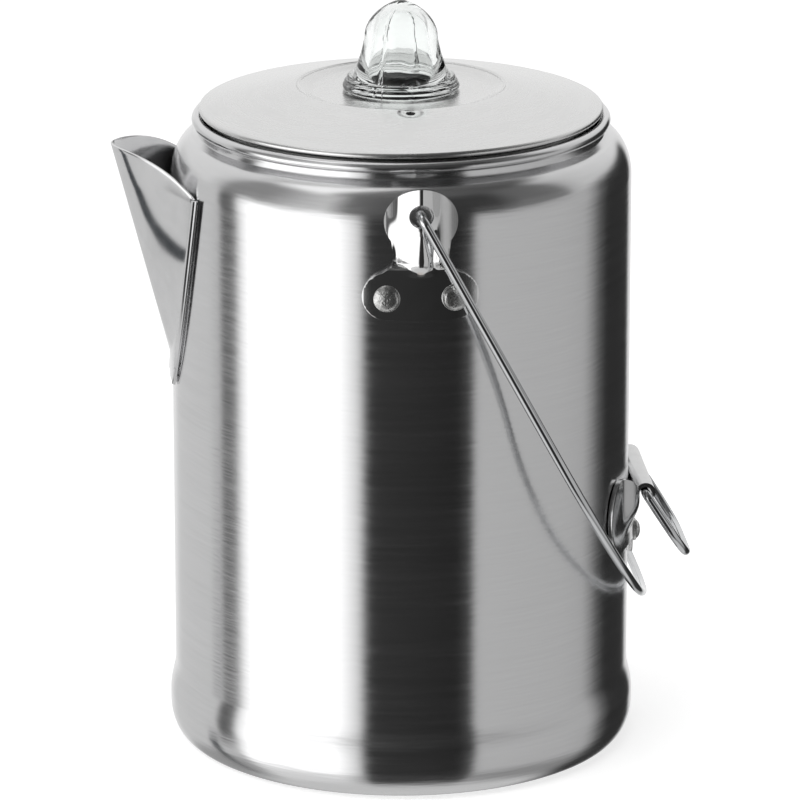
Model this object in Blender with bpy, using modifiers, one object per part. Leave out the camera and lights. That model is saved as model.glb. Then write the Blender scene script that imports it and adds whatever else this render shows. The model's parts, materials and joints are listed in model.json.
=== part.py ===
"""Camping coffee percolator: pot with pressed spout, lid with glass knob, wire bail, tilt ring and pump.

Metres, +Z up. The origin is the middle of the pot's flat base. The spout points along -X, the tilt
ring hangs at +X, and the bail turns in two ears at -Y (front) and +Y (back).
"""
import math

import bmesh
import bpy
from mathutils import Matrix, Vector

MM = 0.001

# Clearances
GAP = 0.3 * MM              # between pieces that touch or rest on each other
RUNNING_GAP = 0.4 * MM      # between a piece that turns or slides and what guides it

# Pot
BODY_RADIUS = 64.0 * MM
WALL = 1.2 * MM
WALL_TOP = 162.0 * MM       # where the straight wall turns into the shoulder
SHOULDER_RISE = 11.5 * MM
SHOULDER_DEPTH = 7.6 * MM   # how far the shoulder comes in
FOOT_SWELL = 1.5 * MM       # the base stands this far outside the wall
SWELL_BOTTOM = 12.0 * MM
SWELL_TOP = 21.0 * MM
FOOT_ROUND_ACROSS = 4.8 * MM
FOOT_ROUND_UP = 8.5 * MM
BEAD_RADIUS = 1.55 * MM     # the rolled rim's own section
BEAD_OFFSET = 0.15 * MM     # middle of the bead, outside the shoulder's centre
NECK_RISE = 4.0 * MM        # from the shoulder's top to the middle of the bead
POT_STEPS = 56

# Strainer holes behind the spout
STRAINER_HOLE_RADIUS = 1.8 * MM
STRAINER_PITCH = 7.5 * MM
STRAINER_COLUMNS = 3
STRAINER_ROWS = 4
STRAINER_TOP = 26.0 * MM    # highest row below the top of the wall

# Spout
SPOUT_SHEET = 0.8 * MM
SPOUT_TIP_REACH = 16.6 * MM         # tip, outside the wall
SPOUT_TIP_RISE = 9.9 * MM           # tip, above the top of the wall
SPOUT_HEIGHT = 57.6 * MM            # top of the wall down to the end of its tongue
SPOUT_TONGUE = 7.5 * MM             # flat end below the bow
SPOUT_HALF_ANGLE_TOP = math.radians(24.4)
SPOUT_HALF_ANGLE_BOTTOM = math.radians(6.0)
SPOUT_BOW_ROUND = 0.30              # 0 makes a sharp bow, 1 a shallow one
SPOUT_MOUTH_ARCH = 2.7              # 1 makes a straight mouth edge, more arches it up
SPOUT_HEM_WIDTH = 2.6 * MM
SPOUT_COLUMNS = 8                   # strips on each side of the bow
SPOUT_ROWS = 9

# Ears and bail
PIVOT_BELOW_MOUTH = 12.55 * MM      # pivot axis, below the top of the rolled rim
EAR_SHEET = 1.0 * MM
EAR_STANDOFF = 1.6 * MM             # flat eye's inner face, outside the wall
EAR_EYE_RADIUS = 9.65 * MM
EAR_EYE_HALF_HEIGHT = 9.0 * MM
EAR_EYE_DROP = 1.5 * MM             # middle of the eye's outline, below the pivot
EAR_HOLE_RADIUS = 3.2 * MM
EAR_NECK_HALF_WIDTH = 7.2 * MM
EAR_NECK_DROP = 12.5 * MM           # pivot down to the narrowest place
EAR_FOOT_HALF_WIDTH = 15.6 * MM
EAR_FOOT_DROP = 22.5 * MM           # pivot down to the middle of the foot
EAR_FOOT_HALF_HEIGHT = 6.6 * MM
EAR_RIVET_DROP = 23.0 * MM          # pivot down to the rivets
EAR_JOGGLE_TOP = 11.5 * MM          # the step out from the wall, below the pivot
EAR_JOGGLE_BOTTOM = 15.5 * MM
RIVET_SHANK_RADIUS = 1.6 * MM
RIVET_HEAD_RADIUS = 3.6 * MM
RIVET_HEAD_HEIGHT = 1.0 * MM
RIVET_TAIL_HEIGHT = 0.9 * MM
RIVET_STEPS = 12
EAR_RIVET_SPACING = 18.0 * MM
WIRE_RADIUS = 1.25 * MM
BAIL_LENGTH = 142.5 * MM            # pivot axis to the middle of the wire at the end
BAIL_REST_GAP = 2.57 * MM           # its end stands this far off the wall at rest
BAIL_BEND = 2.2 * MM
BAIL_TIP_GAP = 0.9 * MM             # the wire's tip stays off the shoulder by this

# Tilt ring and its bracket
BRACKET_SHEET = 1.2 * MM
BRACKET_WIDTH = 37.2 * MM
BRACKET_LOBE_HALF_WIDTH = 33.5 * MM
BRACKET_LOBE_RISE = 6.6 * MM        # top of the lobes, above the ring's axis
BRACKET_LOBE_HEIGHT = 21.3 * MM
BRACKET_TONGUE_DROP = 22.8 * MM     # end of the tongue, below the ring's axis
BRACKET_TONGUE_HALF_WIDTH = 8.0 * MM
BRACKET_NOTCH_DROP = 10.4 * MM
BRACKET_RIVET_DROP = 16.6 * MM
BRACKET_RIVET_HEAD_RADIUS = 3.25 * MM
BRACKET_RIVET_HEAD_HEIGHT = 2.2 * MM
CURL_END = math.radians(-35.0)
RING_ABOVE_BAIL = 31.22 * MM        # hinge axis, above the bail's end at rest
RING_LENGTH = 24.0 * MM
RING_CORNER = 12.0 * MM
RING_SWAY = math.radians(32.5)      # from straight down, at rest

# Lid
LID_SHEET = 0.8 * MM
LID_RIM_INSET = 0.55 * MM           # the rim's edge, inside the middle of the bead
LID_RIM_HEIGHT = 2.0 * MM
LID_SKIRT_DEPTH = 11.0 * MM
LID_RING_RADIUS = 28.0 * MM         # pressed ring round the knob
LID_RISE = 5.6 * MM                 # rim's top to the pressed ring
LID_DISH = 1.5 * MM                 # seat of the knob, below the pressed ring
LID_DISH_RADIUS = 24.0 * MM
LID_EDGE_ROUND = 0.6 * MM
VENT_RADIUS = 1.3 * MM
VENT_PLACE = 32.0 * MM
LID_STEPS = 56

# Glass knob
KNOB_HEIGHT = 25.2 * MM             # above its seat
KNOB_FLANGE_RADIUS = 16.2 * MM
KNOB_FLANGE_HEIGHT = 2.5 * MM
KNOB_FLANGE_ROUND = 0.7 * MM
KNOB_FILLET = 0.8 * MM              # between the flange and the dome's foot
KNOB_DOME_FOOT_RADIUS = 13.4 * MM
KNOB_DOME_FOOT_HEIGHT = 5.0 * MM
KNOB_WAIST_RISE = 2.4 * MM          # above the dome's foot, where it is already narrower
KNOB_WAIST_INSET = 1.2 * MM
KNOB_DOME_RADIUS = 10.2 * MM
KNOB_DOME_HEIGHT = 14.5 * MM        # where the bullet-shaped top starts
KNOB_GLASS = 2.6 * MM
KNOB_NECK_RADIUS = 11.8 * MM
KNOB_LUG_REACH = 2.2 * MM
KNOB_LUG_WIDTH = 6.0 * MM
KNOB_LUG_HEIGHT = 1.3 * MM
KNOB_STEPS = 28

# Pump and basket
TUBE_RADIUS = 5.0 * MM
TUBE_WALL = 0.6 * MM
TUBE_BELOW_SEAT = 6.0 * MM          # top of the tube, below the knob's seat
TUBE_FOOT = 12.0 * MM
BELL_RADIUS = 30.0 * MM
BELL_SHEET = 0.8 * MM
BELL_HEIGHT = 24.0 * MM
BELL_COLLAR_FOOT = 16.0 * MM        # where the collar opens out into the bell
BELL_THROAT = (2.6 * MM, 13.4 * MM)     # outside the collar, and its height
BELL_BROW = (0.62, 10.6 * MM)           # share of the bell's radius, and its height
BELL_SKIRT = (0.94, 4.6 * MM)
BELL_LIP = 1.2 * MM
BELL_NOTCHES = 4
BELL_NOTCH_WIDTH = 6.0 * MM
BELL_NOTCH_HEIGHT = 2.0 * MM
SEAT_HEIGHT = 7.6 * MM
SEAT_RADIUS = 14.5 * MM
SEAT_HOLE_RADIUS = 3.5 * MM
DISC_RADIUS = 6.0 * MM
DISC_THICKNESS = 0.6 * MM
COLLAR_LENGTH = 4.0 * MM
COLLAR_RADIUS = 8.0 * MM
SLEEVE_WALL = 0.8 * MM
SLEEVE_FLANGE_RADIUS = 10.0 * MM
BASKET_SHEET = 0.8 * MM
BASKET_RADIUS = 42.0 * MM
BASKET_DEPTH = 50.0 * MM
BASKET_DROP = 12.6 * MM             # its rim, below the top of the pot's wall
BASKET_CORNER = 4.0 * MM
BASKET_RIM = 1.5 * MM
COVER_DISH = 3.0 * MM
COVER_COLLAR_HEIGHT = 4.0 * MM
BASKET_HOLE_RADIUS = 1.5 * MM
BASKET_HOLE_CIRCLES = ((19.0 * MM, 6), (30.0 * MM, 10))
HOLE_TURN = math.radians(4.0)       # keeps the holes off the sheet's own edges
INNER_STEPS = 32
TUBE_STEPS = 20

# Places that follow from the sizes above
SHOULDER_CENTRE = BODY_RADIUS - SHOULDER_DEPTH
SHOULDER_TOP = WALL_TOP + SHOULDER_RISE
BEAD_HEIGHT = SHOULDER_TOP + NECK_RISE
BEAD_CENTRE = SHOULDER_CENTRE + BEAD_OFFSET
MOUTH_RADIUS = BEAD_CENTRE - BEAD_RADIUS
MOUTH_TOP = BEAD_HEIGHT + BEAD_RADIUS
PIVOT_HEIGHT = MOUTH_TOP - PIVOT_BELOW_MOUTH
FITTING_RADIUS = BODY_RADIUS + GAP
BAIL_HALF_WIDTH = BODY_RADIUS + EAR_STANDOFF + EAR_SHEET + RUNNING_GAP + WIRE_RADIUS
BAIL_DROOP = math.acos((BODY_RADIUS + BAIL_REST_GAP + WIRE_RADIUS) / BAIL_LENGTH)   # below the level
RING_AXIS_HEIGHT = PIVOT_HEIGHT - BAIL_LENGTH * math.sin(BAIL_DROOP) + RING_ABOVE_BAIL
CURL_INNER = WIRE_RADIUS + RUNNING_GAP
CURL_MIDDLE = CURL_INNER + BRACKET_SHEET / 2
RING_AXIS_REACH = FITTING_RADIUS + BRACKET_SHEET / 2 + CURL_MIDDLE
RING_HALF_WIDTH = BRACKET_WIDTH / 2 + RUNNING_GAP + WIRE_RADIUS
LID_RIM_RADIUS = BEAD_CENTRE - LID_RIM_INSET
LID_BASE = MOUTH_TOP + GAP
LID_EDGE = LID_BASE + LID_RIM_HEIGHT
LID_SKIRT_RADIUS = MOUTH_RADIUS - 2 * GAP
KNOB_SEAT = LID_EDGE + LID_RISE - LID_DISH
LID_HOLE_RADIUS = KNOB_NECK_RADIUS + RUNNING_GAP
FLOOR = WALL
SLEEVE_BORE = TUBE_RADIUS + RUNNING_GAP
SLEEVE_RADIUS = SLEEVE_BORE + SLEEVE_WALL
BASKET_TOP = WALL_TOP - BASKET_DROP
BASKET_FLOOR = BASKET_TOP - BASKET_DEPTH
SLEEVE_FOOT = BASKET_FLOOR - GAP - SLEEVE_WALL
COLLAR_HEIGHT = SLEEVE_FOOT - GAP - COLLAR_LENGTH
SLEEVE_TOP = BASKET_TOP + COVER_COLLAR_HEIGHT

ALUMINIUM = ("satin_aluminium", (0.78, 0.78, 0.79), 0.28, 1.0)
BRIGHT_ALUMINIUM = ("bright_aluminium", (0.84, 0.84, 0.85), 0.2, 1.0)
POLISHED_STEEL = ("polished_steel", (0.72, 0.73, 0.74), 0.12, 1.0)
PLATED_WIRE = ("plated_wire", (0.70, 0.71, 0.73), 0.08, 1.0)
RIVET_METAL = ("rivet_aluminium", (0.70, 0.70, 0.69), 0.38, 1.0)
CLEAR_GLASS = ("clear_glass", (0.90, 0.95, 0.93), 0.03, 0.0)


def clear_scene():
    """Remove every object, so that the script can run again in an open file."""
    for item in list(bpy.data.objects):
        bpy.data.objects.remove(item, do_unlink=True)


def new_collection(name):
    collection = bpy.data.collections.new(name)
    bpy.context.scene.collection.children.link(collection)
    return collection


def dress(item, look):
    """Give an object a material of its own, from a (name, colour, roughness, metallic) look."""
    name, colour, roughness, metallic = look
    material = bpy.data.materials.new(item.name + "_" + name)
    material.use_nodes = True
    shader = material.node_tree.nodes["Principled BSDF"]
    shader.inputs["Base Color"].default_value = (*colour, 1.0)
    shader.inputs["Roughness"].default_value = roughness
    shader.inputs["Metallic"].default_value = metallic
    item.data.materials.clear()
    item.data.materials.append(material)


def place(item, collection, look=None):
    """Put an object in one collection only, and dress it."""
    for old in list(item.users_collection):
        old.objects.unlink(item)
    collection.objects.link(item)
    if look:
        dress(item, look)
    return item


def as_cutter(item):
    place(item, CUTTERS)
    item.hide_render = True
    item.display_type = "WIRE"
    return item


def boolean(item, cutter, operation="DIFFERENCE"):
    modifier = item.modifiers.new(operation.title(), "BOOLEAN")
    modifier.operation = operation
    modifier.solver = "EXACT"
    modifier.object = cutter
    return modifier


def arc(centre, radii, start, end, count):
    """Points on an elliptical arc, both ends included; angles in degrees."""
    points = []
    for step in range(count + 1):
        angle = math.radians(start + (end - start) * step / count)
        points.append((centre[0] + radii[0] * math.cos(angle), centre[1] + radii[1] * math.sin(angle)))
    return points


def profile_object(name, points, closed):
    """A chain of edges in the XZ plane, from (radius, height) points."""
    mesh = bpy.data.meshes.new(name)
    shape = bmesh.new()
    corners = [shape.verts.new((radius, 0.0, height)) for radius, height in points]
    for first, second in zip(corners, corners[1:]):
        shape.edges.new((first, second))
    if closed:
        shape.edges.new((corners[-1], corners[0]))
    shape.to_mesh(mesh)
    shape.free()
    return bpy.data.objects.new(name, mesh)


def turned(name, points, steps, look=None, closed=False):
    """Turn a profile about Z; it runs down its outer side, from top to bottom."""
    item = profile_object(name, points, closed)
    screw = item.modifiers.new("Screw", "SCREW")
    screw.axis = "Z"
    screw.angle = math.tau
    screw.steps = steps
    screw.render_steps = steps
    screw.use_merge_vertices = True
    screw.merge_threshold = 0.00001
    screw.use_smooth_shade = True
    return place(item, PARTS, look) if look else as_cutter(item)


def round_cutter(name, radius, length, centre, direction, sides=12):
    """A cylinder to cut with, its middle at a point and its axis along a direction."""
    turn = Vector(direction).to_track_quat("Z", "Y").to_matrix().to_4x4()
    mesh = bpy.data.meshes.new(name)
    shape = bmesh.new()
    bmesh.ops.create_cone(shape, cap_ends=True, segments=sides, radius1=radius, radius2=radius,
                          depth=length, matrix=Matrix.Translation(centre) @ turn)
    shape.to_mesh(mesh)
    shape.free()
    return as_cutter(bpy.data.objects.new(name, mesh))


def box_cutter(name, size, centre, turn_degrees=0.0):
    mesh = bpy.data.meshes.new(name)
    shape = bmesh.new()
    turn = Matrix.Rotation(math.radians(turn_degrees), 4, "Z")
    scale = Matrix.Diagonal((*size, 1.0))
    bmesh.ops.create_cube(shape, size=1.0, matrix=turn @ Matrix.Translation(centre) @ scale)
    shape.to_mesh(mesh)
    shape.free()
    return as_cutter(bpy.data.objects.new(name, mesh))


def outline_mesh(name, points, depth, axis):
    """A flat outline of (across, height) points, made thick along an axis, X or Y."""
    curve = bpy.data.curves.new(name, "CURVE")
    curve.dimensions = "2D"
    curve.fill_mode = "BOTH"
    curve.extrude = depth / 2
    spline = curve.splines.new("POLY")
    spline.points.add(len(points) - 1)
    for point, (across, height) in zip(spline.points, points):
        point.co = (across, height, 0.0, 1.0)
    spline.use_cyclic_u = True
    item = bpy.data.objects.new(name, curve)
    PARTS.objects.link(item)
    upright = Matrix.Rotation(math.pi / 2, 4, "X")
    if axis == "X":
        upright = Matrix.Rotation(math.pi / 2, 4, "Z") @ upright
    item.matrix_world = upright
    return to_mesh(item)


def to_mesh(item):
    """Replace a curve object by a closed mesh object of the same shape."""
    bpy.context.view_layer.update()
    mesh = bpy.data.meshes.new_from_object(item.evaluated_get(bpy.context.evaluated_depsgraph_get()))
    mesh.transform(item.matrix_world)
    name = item.name
    bpy.data.objects.remove(item, do_unlink=True)
    shape = bmesh.new()
    shape.from_mesh(mesh)
    bmesh.ops.remove_doubles(shape, verts=shape.verts, dist=0.000001)
    bmesh.ops.recalc_face_normals(shape, faces=shape.faces)
    shape.to_mesh(mesh)
    shape.free()
    mesh.name = name
    return bpy.data.objects.new(name, mesh)


def sheet(name, across, heights, surface, thickness):
    """A sheet over a grid; surface(a, h) gives a point, and the wall grows along the face normals."""
    mesh = bpy.data.meshes.new(name)
    shape = bmesh.new()
    rows = [[shape.verts.new(surface(a, h)) for a in across] for h in heights]
    for low, high in zip(rows, rows[1:]):
        for column in range(len(across) - 1):
            shape.faces.new((low[column], low[column + 1], high[column + 1], high[column]))
    shape.to_mesh(mesh)
    shape.free()
    item = bpy.data.objects.new(name, mesh)
    wall = item.modifiers.new("Solidify", "SOLIDIFY")
    wall.thickness = thickness
    wall.offset = 1.0
    wall.use_even_offset = True
    return item


def wire(name, points, look, closed=False):
    """A round wire through a list of points."""
    curve = bpy.data.curves.new(name, "CURVE")
    curve.dimensions = "3D"
    curve.bevel_depth = WIRE_RADIUS
    curve.bevel_resolution = 2
    curve.use_fill_caps = True
    spline = curve.splines.new("POLY")
    spline.points.add(len(points) - 1)
    for point, place_at in zip(spline.points, points):
        point.co = (*place_at, 1.0)
    spline.use_cyclic_u = closed
    return place(bpy.data.objects.new(name, curve), PARTS, look)


def spread(low, high, count):
    """Evenly spaced values, both ends included."""
    return [low + (high - low) * step / count for step in range(count + 1)]


# Pot

def shoulder_radius(height):
    """Outside radius of the shoulder at a height."""
    share = min(max((height - WALL_TOP) / SHOULDER_RISE, 0.0), 1.0)
    return SHOULDER_CENTRE + SHOULDER_DEPTH * math.sqrt(1.0 - share * share)


def pot_profile():
    neck = MOUTH_RADIUS + WALL
    outside = arc((BEAD_CENTRE, BEAD_HEIGHT), (BEAD_RADIUS, BEAD_RADIUS), 180, -100, 8)
    outside.append((neck, SHOULDER_TOP + WALL))
    outside += arc((SHOULDER_CENTRE, WALL_TOP), (SHOULDER_DEPTH, SHOULDER_RISE), 85, 0, 5)
    outside += swell(BODY_RADIUS)
    foot = (BODY_RADIUS + FOOT_SWELL - FOOT_ROUND_ACROSS, FOOT_ROUND_UP)
    outside += arc(foot, (FOOT_ROUND_ACROSS, FOOT_ROUND_UP), 0, -90, 4)
    outside.append((0.0, 0.0))
    inside = [(MOUTH_RADIUS, SHOULDER_TOP)]
    inside += arc((SHOULDER_CENTRE, WALL_TOP), (SHOULDER_DEPTH - WALL, SHOULDER_RISE - WALL), 85, 0, 3)
    inside += swell(BODY_RADIUS - WALL)
    inside += arc(foot, (FOOT_ROUND_ACROSS - WALL, FOOT_ROUND_UP - WALL), 0, -90, 3)
    inside.append((0.0, FLOOR))
    return inside[::-1] + outside


def swell(radius):
    """The wall's step out to the foot, as three points."""
    middle = (SWELL_BOTTOM + SWELL_TOP) / 2
    return [(radius, SWELL_TOP), (radius + FOOT_SWELL / 2, middle), (radius + FOOT_SWELL, SWELL_BOTTOM)]


def pot_body():
    pot = turned("pot_body", pot_profile(), POT_STEPS, ALUMINIUM)
    for row in range(STRAINER_ROWS):
        height = WALL_TOP - STRAINER_TOP - row * STRAINER_PITCH
        for column in range(STRAINER_COLUMNS):
            across = (column - (STRAINER_COLUMNS - 1) / 2) * STRAINER_PITCH
            centre = (-math.sqrt(BODY_RADIUS ** 2 - across ** 2), across, height)
            name = f"strainer_hole_{row}_{column}"
            boolean(pot, round_cutter(name, STRAINER_HOLE_RADIUS, 8 * WALL, centre, (1, 0, 0)))
    for name, side, across in ear_rivet_places():
        centre, outwards = ear_rivet_line(side, across)
        boolean(pot, rivet_hole("pot_hole_" + name, centre, outwards))
    centre, outwards = bracket_rivet_line()
    boolean(pot, rivet_hole("pot_hole_bracket", centre, outwards))
    return pot


# Spout

def spout_bow_radius(height):
    """Distance of the spout's bow from the pot's axis, inside the sheet."""
    bottom = WALL_TOP - SPOUT_HEIGHT + SPOUT_TONGUE
    top = WALL_TOP + SPOUT_TIP_RISE
    share = max(height - bottom, 0.0) / (top - bottom)
    return FITTING_RADIUS + (SPOUT_TIP_REACH - GAP - SPOUT_SHEET) * share


def spout_half_angle(height):
    """Half the angle of the pot's wall that the spout covers."""
    share = min(max((height - (WALL_TOP - SPOUT_HEIGHT)) / SPOUT_HEIGHT, 0.0), 1.0)
    return SPOUT_HALF_ANGLE_BOTTOM + (SPOUT_HALF_ANGLE_TOP - SPOUT_HALF_ANGLE_BOTTOM) * share ** 0.6


def spout_point(across, share):
    """A point of the spout's inner face; across runs from -1 to 1, and beyond them along the hem."""
    bottom = WALL_TOP - SPOUT_HEIGHT
    off_bow = min(abs(across), 1.0)
    top = WALL_TOP + SPOUT_TIP_RISE * (1.0 - off_bow ** SPOUT_MOUTH_ARCH)
    height = bottom + (top - bottom) * share
    half_angle = spout_half_angle(height)
    side = math.copysign(1.0, across)
    if abs(across) > 1.0:
        angle = half_angle + (abs(across) - 1.0) * SPOUT_HEM_WIDTH / FITTING_RADIUS
        return (-FITTING_RADIUS * math.cos(angle), -side * FITTING_RADIUS * math.sin(angle), height)
    edge = (FITTING_RADIUS * math.cos(half_angle), FITTING_RADIUS * math.sin(half_angle))
    rounding = SPOUT_BOW_ROUND
    curve = (math.hypot(off_bow, rounding) - rounding) / (math.hypot(1.0, rounding) - rounding)
    bow = spout_bow_radius(height)
    reach = bow + (edge[0] - bow) * curve
    wall = math.sqrt(max(FITTING_RADIUS ** 2 - (edge[1] * off_bow) ** 2, 0.0))
    return (-max(reach, wall), -side * edge[1] * off_bow, height)


def spout():
    half = spread(0.0, 1.0, SPOUT_COLUMNS)
    across = [-2.0] + [-value for value in half[:0:-1]] + half + [2.0]
    heights = spread(0.0, 1.0, SPOUT_ROWS)
    return place(sheet("spout", across, heights, spout_point, SPOUT_SHEET), PARTS, BRIGHT_ALUMINIUM)


# Rivets

def ear_rivet_places():
    """Name, side (-1 front, 1 back) and place across of each rivet that holds an ear."""
    half = EAR_RIVET_SPACING / 2
    return [(f"{side_name}_{end}", side, across)
            for side_name, side in (("front", -1), ("back", 1))
            for end, across in (("left", -half), ("right", half))]


def ear_rivet_line(side, across):
    """Point on the wall and outward direction of an ear rivet."""
    along = side * math.sqrt(BODY_RADIUS ** 2 - across ** 2)
    centre = Vector((across, along, PIVOT_HEIGHT - EAR_RIVET_DROP))
    return centre, Vector((across, along, 0.0)).normalized()


def bracket_rivet_line():
    height = RING_AXIS_HEIGHT - BRACKET_RIVET_DROP
    return Vector((BODY_RADIUS, 0.0, height)), Vector((1.0, 0.0, 0.0))


def rivet_hole(name, centre, outwards):
    radius = RIVET_SHANK_RADIUS + GAP
    return round_cutter(name, radius, 8 * WALL, centre, outwards)


def rivet(name, centre, outwards, sheet_thickness, head_radius, head_height):
    """A solid rivet: domed head outside the fitting, shank through both sheets, tail inside the pot."""
    head = FITTING_RADIUS - BODY_RADIUS + sheet_thickness + GAP
    tail = -WALL - GAP
    shank = RIVET_SHANK_RADIUS
    rim = head + 0.35 * head_height
    points = [(0.0, head + head_height)]
    points += arc((0.0, rim), (head_radius, head_height - (rim - head)), 62, 0, 3)
    points += [(head_radius, head), (shank, head), (shank, tail), (2 * shank, tail)]
    points += arc((0.0, tail), (2 * shank, -RIVET_TAIL_HEIGHT), 35, 90, 2)
    item = turned(name, points, RIVET_STEPS, RIVET_METAL)
    item.matrix_world = Matrix.Translation(centre) @ outwards.to_track_quat("Z", "Y").to_matrix().to_4x4()
    return item


def all_rivets():
    for name, side, across in ear_rivet_places():
        centre, outwards = ear_rivet_line(side, across)
        rivet("ear_rivet_" + name, centre, outwards, EAR_SHEET, RIVET_HEAD_RADIUS, RIVET_HEAD_HEIGHT)
    centre, outwards = bracket_rivet_line()
    rivet("bracket_rivet", centre, outwards, BRACKET_SHEET, BRACKET_RIVET_HEAD_RADIUS,
          BRACKET_RIVET_HEAD_HEIGHT)


# Ears and bail

def ear_outline():
    """Outline of an ear as (across, height) points: round eye, narrow neck and wide foot."""
    eye = PIVOT_HEIGHT - EAR_EYE_DROP
    foot = PIVOT_HEIGHT - EAR_FOOT_DROP
    lobe = EAR_FOOT_HALF_HEIGHT
    lobe_centre = EAR_FOOT_HALF_WIDTH - lobe
    right = arc((0.0, eye), (EAR_EYE_RADIUS, EAR_EYE_HALF_HEIGHT), 90, -38, 9)
    right.append((EAR_NECK_HALF_WIDTH, PIVOT_HEIGHT - EAR_NECK_DROP))
    right += arc((lobe_centre, foot), (lobe, lobe), 60, -90, 7)
    return right + [(-across, height) for across, height in right[:0:-1]]


def ear(name, side):
    """A pressed steel ear: its foot follows the wall and its eye stands out flat, clear of the shoulder."""
    flat = BODY_RADIUS + EAR_STANDOFF

    def surface(across, height):
        wall = math.sqrt(FITTING_RADIUS ** 2 - across ** 2)
        joggle = (height - (PIVOT_HEIGHT - EAR_JOGGLE_BOTTOM)) / (EAR_JOGGLE_BOTTOM - EAR_JOGGLE_TOP)
        share = min(max(joggle, 0.0), 1.0)
        return (-side * across, side * (wall + (flat - wall) * share), height)

    across = spread(-EAR_FOOT_HALF_WIDTH - MM, EAR_FOOT_HALF_WIDTH + MM, 11)
    below = PIVOT_HEIGHT - EAR_FOOT_DROP - EAR_FOOT_HALF_HEIGHT - MM
    heights = [below, PIVOT_HEIGHT - EAR_JOGGLE_BOTTOM, PIVOT_HEIGHT - EAR_JOGGLE_TOP,
               PIVOT_HEIGHT + EAR_EYE_RADIUS]
    item = place(sheet(name, across, heights, surface, EAR_SHEET), PARTS, POLISHED_STEEL)
    blank = as_cutter(outline_mesh(name + "_blank", ear_outline(), 3 * BODY_RADIUS, "Y"))
    boolean(item, blank, "INTERSECT")
    eye_centre = (0.0, side * flat, PIVOT_HEIGHT)
    boolean(item, round_cutter(name + "_eye", EAR_HOLE_RADIUS, 8 * WALL, eye_centre, (0, side, 0), 24))
    for rivet_name, rivet_side, place_across in ear_rivet_places():
        if rivet_side == side:
            centre, outwards = ear_rivet_line(side, place_across)
            boolean(item, rivet_hole(f"{name}_hole_{rivet_name}", centre, outwards))
    return item


def bail_points():
    """The bail in its own plane as (down the bail, across), from one inturned tip to the other."""
    tip = shoulder_radius(PIVOT_HEIGHT) + BAIL_TIP_GAP
    half = BAIL_HALF_WIDTH
    side = [(0.0, tip)]
    side += arc((BAIL_BEND, half - BAIL_BEND), (BAIL_BEND, BAIL_BEND), 180, 90, 4)
    bow = arc((BAIL_LENGTH - half, 0.0), (half, half), 90, -90, 24)
    back = [(down, -across) for down, across in side]
    return side + bow + back[::-1]


def bail():
    turn = Matrix.Rotation(BAIL_DROOP, 3, "Y")
    points = [turn @ Vector((down, across, 0.0)) for down, across in bail_points()]
    item = wire("bail", points, PLATED_WIRE)
    item.location = (0.0, 0.0, PIVOT_HEIGHT)
    return item


# Tilt ring and its bracket

def bracket_outline():
    """Outline of the plate against the wall as (across, height) points."""
    top = RING_AXIS_HEIGHT + BRACKET_LOBE_RISE
    lobe_height = BRACKET_LOBE_HEIGHT / 2
    lobe_width = 0.6 * lobe_height
    notch = BRACKET_WIDTH / 2 + MM
    lobe = (BRACKET_LOBE_HALF_WIDTH - lobe_width, top - lobe_height)
    right = [(notch, RING_AXIS_HEIGHT - BRACKET_NOTCH_DROP), (notch, top - MM)]
    right += arc(lobe, (lobe_width, lobe_height), 90, -90, 10)
    right += arc((0.0, RING_AXIS_HEIGHT - BRACKET_TONGUE_DROP + BRACKET_TONGUE_HALF_WIDTH),
                 (BRACKET_TONGUE_HALF_WIDTH, BRACKET_TONGUE_HALF_WIDTH), -15, -90, 5)
    return right + [(-across, height) for across, height in right[:-1][::-1]]


def curl_path():
    """Middle of the tab's sheet as (reach, height): up from the plate and over the ring's wire."""
    foot = FITTING_RADIUS + BRACKET_SHEET / 2
    path = [(foot, RING_AXIS_HEIGHT - BRACKET_NOTCH_DROP - 5 * MM)]
    centre = (RING_AXIS_REACH, RING_AXIS_HEIGHT)
    return path + arc(centre, (CURL_MIDDLE, CURL_MIDDLE), 180, math.degrees(CURL_END), 12)


def ring_bracket():
    def surface(across, height):
        return (math.sqrt(FITTING_RADIUS ** 2 - across ** 2), across, height)

    across = spread(-BRACKET_LOBE_HALF_WIDTH - MM, BRACKET_LOBE_HALF_WIDTH + MM, 15)
    heights = [RING_AXIS_HEIGHT - BRACKET_TONGUE_DROP - MM, RING_AXIS_HEIGHT + BRACKET_LOBE_RISE + MM]
    item = place(sheet("ring_bracket", across, heights, surface, BRACKET_SHEET), PARTS, POLISHED_STEEL)
    blank = as_cutter(outline_mesh("ring_bracket_blank", bracket_outline(), 4 * BODY_RADIUS, "X"))
    boolean(item, blank, "INTERSECT")
    path = curl_path()
    inner, outer = offset_path(path, -BRACKET_SHEET / 2), offset_path(path, BRACKET_SHEET / 2)
    tab = as_cutter(outline_mesh("ring_bracket_tab", inner + outer[::-1], BRACKET_WIDTH, "Y"))
    boolean(item, tab, "UNION")
    centre, outwards = bracket_rivet_line()
    boolean(item, rivet_hole("ring_bracket_hole", centre, outwards))
    return item


def offset_path(path, distance):
    """A path moved sideways; each point moves along the normal of its neighbours' chord."""
    moved = []
    for index, point in enumerate(path):
        before = path[max(index - 1, 0)]
        after = path[min(index + 1, len(path) - 1)]
        chord = Vector((after[0] - before[0], after[1] - before[1])).normalized()
        moved.append((point[0] - chord.y * distance, point[1] + chord.x * distance))
    return moved


def ring_points():
    """The ring in its own plane as (down the ring, across), starting on the hinge bar."""
    bend = RUNNING_GAP + WIRE_RADIUS
    half = RING_HALF_WIDTH
    top = arc((bend, half - bend), (bend, bend), 180, 90, 2)
    low = arc((RING_LENGTH - RING_CORNER, half - RING_CORNER), (RING_CORNER, RING_CORNER), 90, 0, 7)
    one_side = [(0.0, 0.0)] + top + low
    other = [(down, -across) for down, across in one_side[1:]]
    return one_side + other[::-1]


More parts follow.
